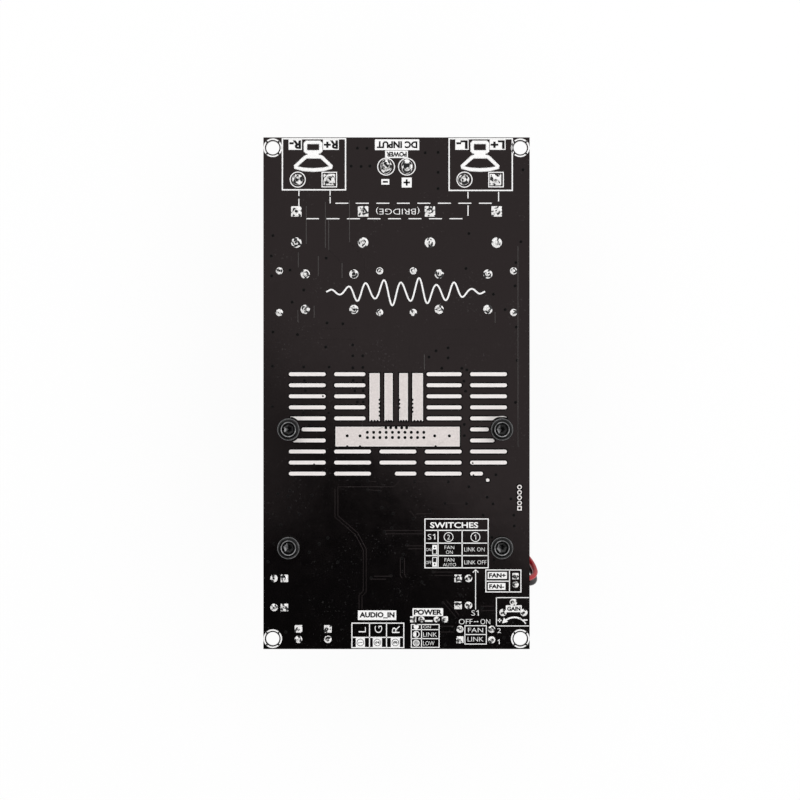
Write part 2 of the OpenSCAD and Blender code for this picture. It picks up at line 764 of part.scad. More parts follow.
// A chip's moulded body with sloping sides, standing off the board
module chip_body(l, w, h) {
  foot = 0.1;
  mid = h / 2 + 0.05;
  slope = 0.12;
  translate([-l / 2, 0, 0])
    rotate([90, 0, 90])
      linear_extrude(l)
        polygon([
          [-w / 2 + slope, foot], [w / 2 - slope, foot], [w / 2, mid],
          [w / 2 - slope, h], [-w / 2 + slope, h], [-w / 2, mid]
        ]);
}

module amplifier_chip() {
  color([0.07, 0.07, 0.07])
    under()
      translate([chip_x, chip_y, 0])
        chip_body(chip_l, chip_w, chip_h);
}

// One bent chip lead that leaves its body in the direction of +y
module gull_lead(w, reach, h) {
  t = 0.15;
  translate([-w / 2, 0, 0])
    rotate([90, 0, 90])
      linear_extrude(w)
        polygon([
          [0, h], [0.3 * reach, h], [0.5 * reach, 0], [reach, 0],
          [reach, t], [0.5 * reach + 0.12, t], [0.3 * reach + 0.1, h + t], [0, h + t]
        ]);
}

// Two rows of leads along a chip
module lead_rows(n, pitch, w, body_w, h, reach) {
  for (s = [0, 180])
    rotate(s)
      for (i = [0:n - 1])
        translate([(i - (n - 1) / 2) * pitch, body_w / 2, 0])
          gull_lead(w, reach, h);
}

module chip_leads() {
  color([0.75, 0.75, 0.76])
    under() {
      translate([chip_x, chip_y, 0])
        lead_rows(22, 0.635, 0.25, chip_w, chip_h / 2 - 0.03, 1);
      for (p = so8_places)
        translate([p[0], p[1], 0])
          lead_rows(4, 1.27, 0.42, so8_w, so8_h / 2 - 0.03, 1.05);
    }
}

module signal_chips() {
  color([0.07, 0.07, 0.07])
    under()
      for (p = so8_places)
        translate([p[0], p[1], 0])
          chip_body(so8_l, so8_w, so8_h);
}

// Puts children in the fan's place, z from its back on the heatsink to its open front
module fan_place() {
  under()
    translate([cooling_shift, cooling_y, fan_z])
      children();
}

duct_d = fan_size - 2 * fan_wall;
base_t = 1.5;
rotor_z = base_t + 0.8;
rotor_h = fan_t - rotor_z - 0.7;
cup_wall = 0.9;
cup_d = hub_d - 2 * cup_wall;
magnet_t = 1.2;
magnet_gap = 0.03;
magnet_h = rotor_h - 2.2;
shaft_gap = 0.03;
tip_r = duct_d / 2 - tip_gap;

module fan_frame() {
  exit_dy = exit_y - cooling_y;
  strut_turn = atan2(exit_dy, fan_size / 2);
  wall_d = fan_size - 0.3;
  mid_h = fan_t - 2 * fan_flange;
  color([0.1, 0.1, 0.1])
    fan_place() {
      difference() {
        linear_extrude(fan_t)
          round_rect(fan_size, fan_size, 3);
        translate([0, 0, -1])
          cylinder(d = duct_d, h = fan_t + 2);
        translate([0, 0, fan_t - 0.6])
          cylinder(d1 = duct_d, d2 = duct_d + 1.2, h = 0.6 + eps);
        translate([0, 0, fan_flange])
          difference() {
            block([fan_size + 2, fan_size + 2, mid_h]);
            translate([0, 0, -1])
              cylinder(d = wall_d, h = fan_t);
            for (i = [-1, 1])
              for (j = [-1, 1])
                translate([i * fan_hole, j * fan_hole, -1])
                  cylinder(d = fan_screw_d + 3.4, h = fan_t);
          }
        for (i = [-1, 1])
          for (j = [-1, 1])
            translate([i * fan_hole, j * fan_hole, -1])
              cylinder(d = fan_screw_d + 2 * screw_clear, h = fan_t + 2);
      }
      difference() {
        translate([fan_size / 2 - 5, exit_dy - 2.4, fan_flange - eps])
          cube([5, 4.8, mid_h + 2 * eps]);
        translate([0, 0, -1])
          cylinder(d = wall_d - 0.4, h = fan_t + 2);
      }
      cylinder(d = hub_d - 0.4, h = base_t);
      for (k = [0:3])
        rotate(strut_turn + 90 * k)
          translate([hub_d / 2 - 1.2, -1.2, 0])
            cube([(duct_d - hub_d) / 2 + 1.6, 2.4, base_t]);
    }
}

// One curved blade: a piece of a thin cylinder wall, turned to its pitch angle
module blade() {
  bend = 14;
  chord = (rotor_h - 0.5) / sin(blade_angle);
  drop = sqrt(bend * bend - chord * chord / 4);
  intersection() {
    difference() {
      cylinder(r = tip_r, h = rotor_h - 0.4);
      translate([0, 0, -1])
        cylinder(r = hub_d / 2 - 0.4, h = rotor_h + 2);
    }
    translate([0, 0, rotor_h / 2 - 0.6])
      rotate([blade_angle, 0, 0])
        difference() {
          translate([hub_d / 2 - 2, -chord / 2, -1.2])
            cube([tip_r, chord, 5]);
          translate([0, 0, -drop])
            difference() {
              translate([0, -2 * bend, -2 * bend])
                cube([tip_r + 5, 4 * bend, 4 * bend]);
              translate([-1, 0, 0])
                rotate([0, 90, 0])
                  cylinder(r = bend, h = tip_r + 9);
            }
          translate([-1, 0, -drop])
            rotate([0, 90, 0])
              cylinder(r = bend - 0.9, h = tip_r + 9);
        }
  }
}

module fan_rotor() {
  color([0.12, 0.12, 0.12])
    fan_place()
      translate([0, 0, rotor_z]) {
        difference() {
          cylinder(d = hub_d, h = rotor_h);
          translate([0, 0, -1])
            cylinder(d = cup_d, h = rotor_h - 0.2);
        }
        translate([0, 0, 0.2])
          cylinder(d = shaft_d, h = rotor_h - 0.4);
        for (i = [0:blade_n - 1])
          rotate(i * 360 / blade_n)
            blade();
      }
}

module fan_magnet() {
  color([0.25, 0.22, 0.2])
    fan_place()
      translate([0, 0, rotor_z + 0.4])
        difference() {
          cylinder(d = cup_d - 2 * magnet_gap, h = magnet_h);
          translate([0, 0, -1])
            cylinder(d = cup_d - 2 * magnet_gap - 2 * magnet_t, h = magnet_h + 2);
        }
}

module fan_stator() {
  coil_d = cup_d - 2 * magnet_gap - 2 * magnet_t - 1.2;
  tube_h = rotor_h - 1;
  color([0.7, 0.4, 0.2])
    fan_place()
      translate([0, 0, base_t])
        difference() {
          union() {
            cylinder(d = 5, h = tube_h);
            difference() {
              translate([0, 0, 1])
                cylinder(d = coil_d, h = magnet_h - 0.6);
              for (a = [0, 90])
                rotate(a + 45)
                  difference() {
                    block([coil_d + 2, 1.4, fan_t]);
                    block([8, 3, fan_t]);
                  }
            }
          }
          translate([0, 0, 0.4])
            cylinder(d = shaft_d + 2 * shaft_gap, h = fan_t);
        }
}

module fan_screws() {
  r = fan_screw_head_d / 2;
  color([0.6, 0.6, 0.62])
    fan_place()
      for (i = [-1, 1])
        for (j = [-1, 1])
          translate([i * fan_hole, j * fan_hole, 0]) {
            translate([0, 0, fan_t])
              difference() {
                rotate_extrude()
                  polygon([
                    [0, 0], [r, 0], [r, fan_screw_head_h - 0.9], [r - 0.3, fan_screw_head_h - 0.4],
                    [r - 0.9, fan_screw_head_h], [0, fan_screw_head_h]
                  ]);
                for (a = [0, 90])
                  rotate(a + 30 * i)
                    translate([0, 0, fan_screw_head_h - 0.9])
                      block([2.6, 0.65, 2]);
              }
            translate([0, 0, -7])
              cylinder(d = fan_screw_d, h = fan_t + 7 + eps);
          }
}

header_floor = 1.1;
cavity_w = fan_header_w - 2 * fan_header_wall;
cavity_l = fan_header_l - 2 * fan_header_wall;
fan_pin_top = fan_header_h - 1;

module fan_header() {
  color([0.92, 0.9, 0.84])
    under()
      translate([plug_x, plug_y, 0])
        difference() {
          block([fan_header_w, fan_header_l, fan_header_h]);
          translate([0, 0, header_floor])
            block([cavity_w, cavity_l, fan_header_h]);
          translate([-fan_header_w / 2, 0, header_floor + 1.4])
            block([3, 1.8, fan_header_h]);
          for (k = [-1, 1])
            translate([0, k * fan_pin_pitch / 2, -1])
              cylinder(d = 0.55 + 2 * solder_clear, h = 4);
        }
}

module fan_header_pins() {
  color([0.85, 0.8, 0.6])
    under()
      for (k = [-1, 1])
        translate([plug_x, plug_y + k * fan_pin_pitch / 2, 0])
          lead(0.55, fan_pin_top);
}

module fan_plug() {
  plug_w = cavity_w - 2 * plug_clear;
  plug_l = cavity_l - 2 * plug_clear;
  plug_h = fan_header_h + plug_out - header_floor - plug_clear;
  color([0.95, 0.94, 0.9])
    under()
      translate([plug_x, plug_y, header_floor + plug_clear])
        difference() {
          union() {
            block([plug_w, plug_l, plug_h]);
            translate([-plug_w / 2 - 0.2, 0, 2])
              block([0.8, 1.4, plug_h - 2.6]);
          }
          for (k = [-1, 1]) {
            translate([0, k * fan_pin_pitch / 2, -1])
              cylinder(d = 0.75, h = fan_pin_top - header_floor + 1.2);
            translate([plug_w / 2, k * fan_pin_pitch / 2, 1])
              block([0.8, 0.9, 2]);
          }
        }
}

// Rings of a round tube along a route: a direction and a side vector at each point
function unit(v) = v / norm(v);
function route_dir(p, i) = unit(p[min(i + 1, len(p) - 1)] - p[max(i - 1, 0)]);
function route_side(p, i) =
  let(t = route_dir(p, i), n = i == 0 ? [0.2, 0.3, 1] : route_side(p, i - 1))
  unit(n - (n * t) * t);

module wire(route, d) {
  k = 8;
  m = len(route);
  rings = [for (i = [0:m - 1])
    let(t = i == 0 ? [1, 0, 0] : i == m - 1 ? [0, 0, 1] : route_dir(route, i))
    let(n = unit(route_side(route, i) - (route_side(route, i) * t) * t), b = cross(t, n))
    for (j = [0:k - 1]) route[i] + d / 2 * (cos(j * 360 / k) * n + sin(j * 360 / k) * b)];
  sides = [for (i = [0:m - 2]) for (j = [0:k - 1])
    let(a = i * k + j, c = i * k + (j + 1) % k)
    each [[a, a + k, c], [c, a + k, c + k]]];
  first = [[for (j = [0:k - 1]) j]];
  last = [[for (j = [0:k - 1]) m * k - 1 - j]];
  polyhedron(points = rings, faces = concat(sides, first, last));
}

module fan_wire_red() {
  color([0.6, 0.08, 0.1])
    wire(red_route, wire_d);
}

module fan_wire_black() {
  color([0.06, 0.06, 0.06])
    wire(black_route, wire_d);
}

// An upright can with a crimped foot, a scored top and two leads along y
module can_capacitor(d, h, pitch, lead_d, score) {
  r = d / 2;
  c = min(0.8, d / 16);
  difference() {
    rotate_extrude()
      polygon([
        [0, 0.3], [r - 2.4 * c, 0.3], [r - 2.2 * c, 0], [r - 0.9 * c, 0], [r - 0.25 * c, 0.25 * c],
        [r, 1.2 * c], [r, 3 * c], [r - 0.8 * c, 3.9 * c], [r - 0.8 * c, 4.5 * c], [r, 5.4 * c],
        [r, h - c], [r - 0.3 * c, h - 0.3 * c], [r - c, h], [0, h]
      ]);
    for (a = [0, 90])
      rotate(a + 45)
        translate([0, 0, h - score])
          block([0.78 * d, 0.05 * d, 1]);
  }
  for (k = [-1, 1])
    translate([0, k * pitch / 2, 0])
      lead(lead_d, 0.6);
}

module supply_capacitor(i) {
  color([0.1, 0.1, 0.14])
    under()
      translate([(i - 1.5) * supply_dx, supply_y, 0])
        can_capacitor(supply_d, supply_h, supply_lead_pitch, supply_lead_d, 0.25);
}

module small_capacitor(i) {
  color([0.12, 0.12, 0.16])
    under()
      translate([small_places[i][0], small_places[i][1], 0])
        rotate(small_places[i][2] - 90)
          can_capacitor(small_d, small_h, small_lead_pitch, small_lead_d, 0.15);
}

module film_capacitor(x) {
  color([0.65, 0.12, 0.12])
    under()
      translate([x, filter_y, 0]) {
        translate([0, 0, 0.4])
          linear_extrude(film_h - 0.4)
            round_rect(film_w, film_l, 0.5);
        for (k = [-1, 1])
          translate([0, k * (film_l / 2 - 1), 0])
            block([film_w - 1.2, 0.7, 1]);
        for (k = [-1, 1])
          translate([0, k * film_lead_pitch / 2, 0])
            lead(film_lead_d, 0.6);
      }
}

window_w = inductor_w - 2 * inductor_leg;
window_h = inductor_h - 2 * inductor_plate;
coil_gap = 0.2;
coil_w = window_w / 2 - 1.5 * coil_gap;
winding_l = inductor_l - 1.2;
coil_x = coil_w / 2 + coil_gap / 2;
post_w = 2;
post_l = winding_l - coil_w + post_w;

module inductor_core(s) {
  color([0.22, 0.22, 0.23])
    under()
      translate([s * inductor_x, filter_y, 0]) {
        difference() {
          linear_extrude(inductor_h)
            cut_rect(inductor_w, inductor_l, 0.6);
          translate([0, 0, inductor_plate])
            block([window_w, inductor_l + 2, window_h]);
          for (i = [-1, 1])
            for (j = [-1, 1])
              translate([i * inductor_lead_dx / 2, j * inductor_lead_dy / 2, -1])
                cylinder(d = inductor_lead_d + 2 * lead_clear, h = inductor_plate + 2);
        }
        for (i = [-1, 1])
          translate([i * coil_x, 0, inductor_plate - eps])
            linear_extrude(window_h + 2 * eps)
              stadium(post_w, post_l);
      }
}

module inductor_windings(s) {
  turn_h = (window_h - 2 * coil_gap) / inductor_turns;
  color([0.72, 0.4, 0.2])
    under()
      translate([s * inductor_x, filter_y, 0])
        for (i = [-1, 1]) {
          translate([i * coil_x, 0, inductor_plate + coil_gap])
            difference() {
              union() {
                for (k = [0:inductor_turns - 1])
                  translate([0, 0, k * turn_h])
                    linear_extrude(turn_h - 0.25)
                      stadium(coil_w, winding_l);
                linear_extrude(window_h - 2 * coil_gap - 0.25)
                  stadium(coil_w - 0.8, winding_l - 0.8);
              }
              translate([0, 0, -1])
                linear_extrude(window_h + 2)
                  stadium(post_w + 2 * coil_gap, post_l + 2 * coil_gap);
            }
          for (j = [-1, 1])
            translate([i * inductor_lead_dx / 2, j * inductor_lead_dy / 2, 0])
              lead(inductor_lead_d, inductor_plate + coil_gap + 0.5);
        }
}

// A header lying on the board, open towards +y, its front at y = 0
module lying_header(n, pitch, w, depth, h, wall, back, pin_d, leg) {
  pin_z = h / 2;
  slot = pin_d + 2 * plug_clear;
  difference() {
    translate([-w / 2, -depth, 0])
      cube([w, depth, h]);
    translate([-w / 2 + wall, -depth + back, wall])
      cube([w - 2 * wall, depth, h - 2 * wall]);
    for (i = [0:n - 1])
      translate([(i - (n - 1) / 2) * pitch, -depth, 0]) {
        translate([-slot / 2, -1, -1])
          cube([slot, leg + slot / 2 + 1, pin_z + slot / 2 + 1]);
        translate([0, 0, pin_z])
          rotate([-90, 0, 0])
            cylinder(d = slot, h = back + 1);
        translate([-pitch * 0.2, depth - 5, h - wall / 2])
          cube([pitch * 0.4, 6, wall]);
      }
  }
}

// A bent pin for a lying header: forward in the cavity and down to the board
module bent_pin(depth, h, pin_d, leg, tip, foot) {
  translate([0, -depth + leg, 0]) {
    translate([0, 0, h / 2])
      rotate([-90, 0, 0])
        cylinder(d = pin_d, h = depth - leg - tip);
    translate([0, 0, h / 2])
      sphere(d = pin_d);
    translate([0, 0, -foot])
      cylinder(d = pin_d, h = h / 2 + foot);
  }
}

speaker_back = speaker_leg_inset + 1.5;
audio_back = 2.6;
audio_leg = 1;
audio_w = 3 * audio_pitch + 0.77;

module speaker_header(s) {
  color([0.1, 0.1, 0.1])
    under()
      translate([s * speaker_x, y_top, 0])
        lying_header(2, speaker_pitch, speaker_w, speaker_depth, speaker_h, speaker_wall,
          speaker_back, speaker_pin_d, speaker_leg_inset);
}

module speaker_pins(s) {
  color([0.8, 0.79, 0.76])
    under()
      translate([s * speaker_x, y_top, 0])
        for (k = [-1, 1])
          translate([k * speaker_pitch / 2, 0, 0])
            bent_pin(speaker_depth, speaker_h, speaker_pin_d, speaker_leg_inset, 1.6,
              board_t + lead_out);
}

module audio_header() {
  color([0.1, 0.1, 0.1])
    under()
      translate([audio_x, y_low, 0])
        rotate(180)
          lying_header(3, audio_pitch, audio_w, audio_depth, audio_h, audio_wall,
            audio_back, audio_pin_d, audio_leg);
}

module audio_pins() {
  color([0.82, 0.78, 0.62])
    under()
      translate([audio_x, y_low, 0])
        rotate(180)
          for (k = [-1, 0, 1])
            translate([k * audio_pitch, 0, 0]) {
              bent_pin(audio_depth, audio_h, audio_pin_d, audio_leg, 1.2, 0);
              translate([0, -audio_depth - 0.2, 0])
                block([audio_pin_d, 2.4, 0.4]);
            }
}

// Outline of the power socket with two cut corners at its plus end
module power_outline(inset) {
  a = power_shell_l / 2 - inset;
  b = power_shell_w / 2 - inset;
  c = 1.5;
  polygon([[-a, -b], [a - c, -b], [a, -b + c], [a, b - c], [a - c, b], [-a, b]]);
}

power_floor = 3.2;

module power_socket() {
  color([0.85, 0.68, 0.12])
    under()
      translate([0, power_y, 0])
        difference() {
          union() {
            linear_extrude(power_h)
              power_outline(0.3);
            linear_extrude(power_floor)
              power_outline(0);
          }
          translate([0, 0, power_floor])
            linear_extrude(power_h)
              power_outline(0.3 + power_wall);
          for (k = [-1, 1])
            translate([k * power_pitch / 2, 0, -1])
              cylinder(d = power_tail_d + 2 * solder_clear, h = power_floor + 2);
        }
}

module power_pins() {
  color([0.85, 0.68, 0.3])
    under()
      for (k = [-1, 1])
        translate([k * power_pitch / 2, power_y, 0])
          difference() {
            union() {
              lead(power_tail_d, power_floor + 0.5);
              translate([0, 0, power_floor])
                rotate_extrude()
                  polygon([
                    [0, 0], [power_pin_d / 2, 0], [power_pin_d / 2, power_h - power_floor - 1.6],
                    [power_pin_d / 2 - 0.4, power_h - power_floor - 1], [0, power_h - power_floor - 1]
                  ]);
            }
            for (a = [0, 90])
              rotate(a + 45)
                translate([0, 0, power_floor + 2])
                  block([power_pin_d + 2, 0.3, power_h]);
          }
}

module dip_body() {
  color([0.72, 0.1, 0.1])
    under()
      translate([dip_x, dip_y, 0])
        difference() {
          block([dip_w, dip_l, dip_h]);
          for (j = [-1, 1])
            translate([0, j * dip_pitch / 2, dip_h - dip_slot_depth])
              block([dip_slot_l, dip_knob_w + 2 * move_clear, dip_h]);
        }
}

module dip_pins() {
  color([0.8, 0.8, 0.8])
    under()
      for (i = [-1, 1])
        for (j = [-1, 1])
          translate([dip_x + i * dip_row / 2, dip_y + j * dip_pitch / 2, 0]) {
            lead(0.5, 1.6);
            translate([-i * (dip_row - dip_w) / 4 + i * 0.125, 0, 1.2])
              block([(dip_row - dip_w) / 2 + 0.25, 0.5, 0.4]);
          }
}

// A slide at its OFF end, towards -x
module dip_slide(j) {
  seat = dip_h - dip_slot_depth + move_clear / 2;
  color([0.93, 0.93, 0.9])
    under()
      translate([dip_x - dip_travel / 2, dip_y + j * dip_pitch / 2, seat]) {
        block([dip_knob_l, dip_knob_w, dip_h + dip_knob_out - seat]);
      }
}

module gain_body() {
  color([0.12, 0.25, 0.6])
    under()
      translate([gain_x, gain_y, 0]) {
        difference() {
          translate([0, 0, 0.4])
            linear_extrude(gain_h - 0.4)
              cut_rect(gain_w, gain_l, 0.35);
          translate([0, 0, gain_h - gain_recess])
            cylinder(d = gain_disc_d + 2 * move_clear, h = gain_h);
          translate([0, 0, gain_h - gain_recess - 1.6])
            cylinder(d = 1.6 + 2 * move_clear, h = gain_h);
        }
        for (i = [-1, 1])
          for (j = [-1, 1])
            translate([i * (gain_w / 2 - 1), j * (gain_l / 2 - 0.7), 0])
              block([1, 0.8, 1]);
        for (p = gain_pins)
          translate([p[0], p[1], 0])
            lead(0.6, 0.8);
      }
}

module gain_disc() {
  low = gain_h - gain_recess + move_clear / 2;
  top = gain_h + gain_disc_out;
  color([0.92, 0.92, 0.9])
    under()
      translate([gain_x, gain_y, 0])
        difference() {
          union() {
            translate([0, 0, low])
              cylinder(d = gain_disc_d, h = top - low);
            translate([0, 0, low - 1.4])
              cylinder(d = 1.6, h = 2);
          }
          translate([0, 0, top - 0.8])
            block([gain_slot, gain_disc_d - 0.6, 2]);
          translate([0, 0, top - 0.8])
            block([gain_disc_d - 1.6, gain_slot, 2]);
        }
}

module indicator_lamp(i) {
  r = led_d / 2;
  color(i == 0 ? [0.3, 0.55, 0.95] : [0.9, 0.25, 0.2])
    under()
      translate([led_x[i], led_y, 0]) {
        rotate_extrude() {
          square([r + 0.4, 1]);
          square([r, led_h - r]);
          intersection() {
            translate([0, led_h - r])
              circle(r = r);
            square([r, led_h]);
          }
        }
        for (k = [-1, 1])
          translate([k * led_lead_pitch / 2, 0, 0])
            lead(0.5, 0.6);
      }
}

module regulator_coil() {
  color([0.3, 0.3, 0.31])
    under()
      translate([coil_place[0], coil_place[1], 0]) {
        linear_extrude(coil_h)
          cut_rect(coil_l, coil_l, 1.1);
        cylinder(d = coil_l - 1.4, h = coil_h + 0.2);
      }
}

// Bodies of the small parts, without their end caps
module passive(places, size) {
  for (p = places)
    translate([p[0], p[1], 0])
      rotate(p[2])
        block([size[0] - 2 * end_cap, size[1], size[2]]);
}

module end_caps(places, size) {
  for (p = places)
    translate([p[0], p[1], 0])
      rotate(p[2])
        for (k = [-1, 1])
          translate([k * (size[0] - end_cap) / 2, 0, 0])
            block([end_cap, size[1], size[2]]);
}

module chip_resistors() {
  color([0.06, 0.06, 0.07])
    under()
      passive(res_places, res_size);
}

module chip_capacitors() {
  color([0.62, 0.48, 0.34])
    under()
      passive(cap_places, cap_size);
}

module chip_end_caps() {
  color([0.8, 0.8, 0.8])
    under() {
      end_caps(res_places, res_size);
      end_caps(cap_places, cap_size);
    }
}

circuit_board();
bare_strips();
solder_joints();
heatsink();
heatsink_spacers();
heatsink_screws();
thermal_pad();
amplifier_chip();
chip_leads();
fan_frame();
fan_rotor();
fan_magnet();
fan_stator();
fan_screws();
fan_header();
fan_header_pins();
fan_plug();
fan_wire_red();
fan_wire_black();
supply_capacitor(0);  // supply_capacitor_1
supply_capacitor(1);  // supply_capacitor_2
supply_capacitor(2);  // supply_capacitor_3
supply_capacitor(3);  // supply_capacitor_4
film_capacitor(-film_out_x);  // film_capacitor_1
film_capacitor(-film_in_x);  // film_capacitor_2
film_capacitor(film_in_x);  // film_capacitor_3
film_capacitor(film_out_x);  // film_capacitor_4
inductor_core(-1);  // inductor_core_1
inductor_core(1);  // inductor_core_2
inductor_windings(-1);  // inductor_windings_1
inductor_windings(1);  // inductor_windings_2
speaker_header(-1);  // speaker_header_1
speaker_header(1);  // speaker_header_2
speaker_pins(-1);  // speaker_pins_1
speaker_pins(1);  // speaker_pins_2
power_socket();
power_pins();
audio_header();
audio_pins();
small_capacitor(0);  // small_capacitor_1
small_capacitor(1);  // small_capacitor_2
small_capacitor(2);  // small_capacitor_3
small_capacitor(3);  // small_capacitor_4
small_capacitor(4);  // small_capacitor_5
small_capacitor(5);  // small_capacitor_6
dip_body();
dip_pins();
dip_slide(1);  // dip_slide_1
dip_slide(-1);  // dip_slide_2
gain_body();
gain_disc();
indicator_lamp(0);  // indicator_lamp_1
indicator_lamp(1);  // indicator_lamp_2
signal_chips();
regulator_coil();
chip_resistors();
chip_capacitors();
chip_end_caps();
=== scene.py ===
"""Looks of a stereo amplifier board, seen from its solder side.

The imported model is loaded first. Each class below is one sub-assembly: the camera,
the studio, the fan lead, the print, the solder and the finishes of every part.
Sizes are millimetres, apart from the studio's, which are metres.
"""

import logging
import math
from dataclasses import dataclass, field
from enum import Enum
from random import Random
from typing import Callable

import bpy
from mathutils import Matrix, Vector


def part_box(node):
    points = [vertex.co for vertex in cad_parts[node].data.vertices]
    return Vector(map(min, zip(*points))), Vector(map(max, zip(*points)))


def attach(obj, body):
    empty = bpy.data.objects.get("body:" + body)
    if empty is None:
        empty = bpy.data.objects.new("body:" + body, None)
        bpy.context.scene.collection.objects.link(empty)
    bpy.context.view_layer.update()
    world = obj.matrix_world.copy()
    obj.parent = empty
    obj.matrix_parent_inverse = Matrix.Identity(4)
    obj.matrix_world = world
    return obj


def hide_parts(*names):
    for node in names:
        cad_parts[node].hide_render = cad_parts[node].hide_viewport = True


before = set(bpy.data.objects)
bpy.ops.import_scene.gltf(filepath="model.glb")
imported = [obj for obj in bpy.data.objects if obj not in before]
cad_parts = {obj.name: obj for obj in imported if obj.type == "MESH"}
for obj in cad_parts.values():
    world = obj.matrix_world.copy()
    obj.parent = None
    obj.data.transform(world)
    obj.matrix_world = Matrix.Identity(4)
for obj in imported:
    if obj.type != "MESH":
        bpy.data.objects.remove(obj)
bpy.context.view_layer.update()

log = logging.getLogger("amplifier_board")

Rgb = tuple[float, float, float]
Point = tuple[float, float]
Box = tuple[float, float, float, float]
Place = tuple[float, float, float]
Path = tuple[Point, ...]
Route = tuple[Place, ...]
Piece = bpy.types.Object
Material = bpy.types.Material
Tree = bpy.types.NodeTree
Node = bpy.types.Node
Socket = bpy.types.NodeSocket
Sockets = dict[str, Socket]

MM = 0.001
ORIGIN = (0.0, 0.0, 0.0)
BOARD_LOW = 30.0
BOARD_TOP = 31.6
# How far pieces that lie on the mask reach down into it
SUNK = 0.02
# Corners closer than this, in metres, are one
MERGE = 1e-7
# Edges flatter than this angle in degrees are shaded smooth
SMOOTH = 35.0
# The body that all new pieces ride on
BODY = "board"
MASK_SLOT = "solder_mask"
# Places of the supply capacitors, and place and turn of each small one
SUPPLY_X = (-24.075, -8.025, 8.025, 24.075)
SUPPLY_Y = 39.95
SMALL_CANS = (
    (-28.2, -44.5, 0), (-28.2, -51.5, 0), (-23.56, -57.9, 90),
    (-16.5, -57.9, 90), (16.05, -44.5, 180), (16.05, -51.0, 180))


class Turn(Enum):
    """How a piece of lettering lies on the board."""

    UPRIGHT = 0.0
    LEFT = 90.0
    OVER = 180.0


class Grain(Enum):
    """The pattern that breaks up a finish."""

    SPECKLE = "speckle"
    BRUSHED = "brushed"


def metres(spot: tuple[float, ...]) -> tuple[float, ...]:
    """Turns millimetres into metres."""
    return tuple(value * MM for value in spot)


def direction(turn: float) -> Vector:
    """Returns the direction in plan at an angle in degrees."""
    return Vector((math.cos(math.radians(turn)), math.sin(math.radians(turn))))


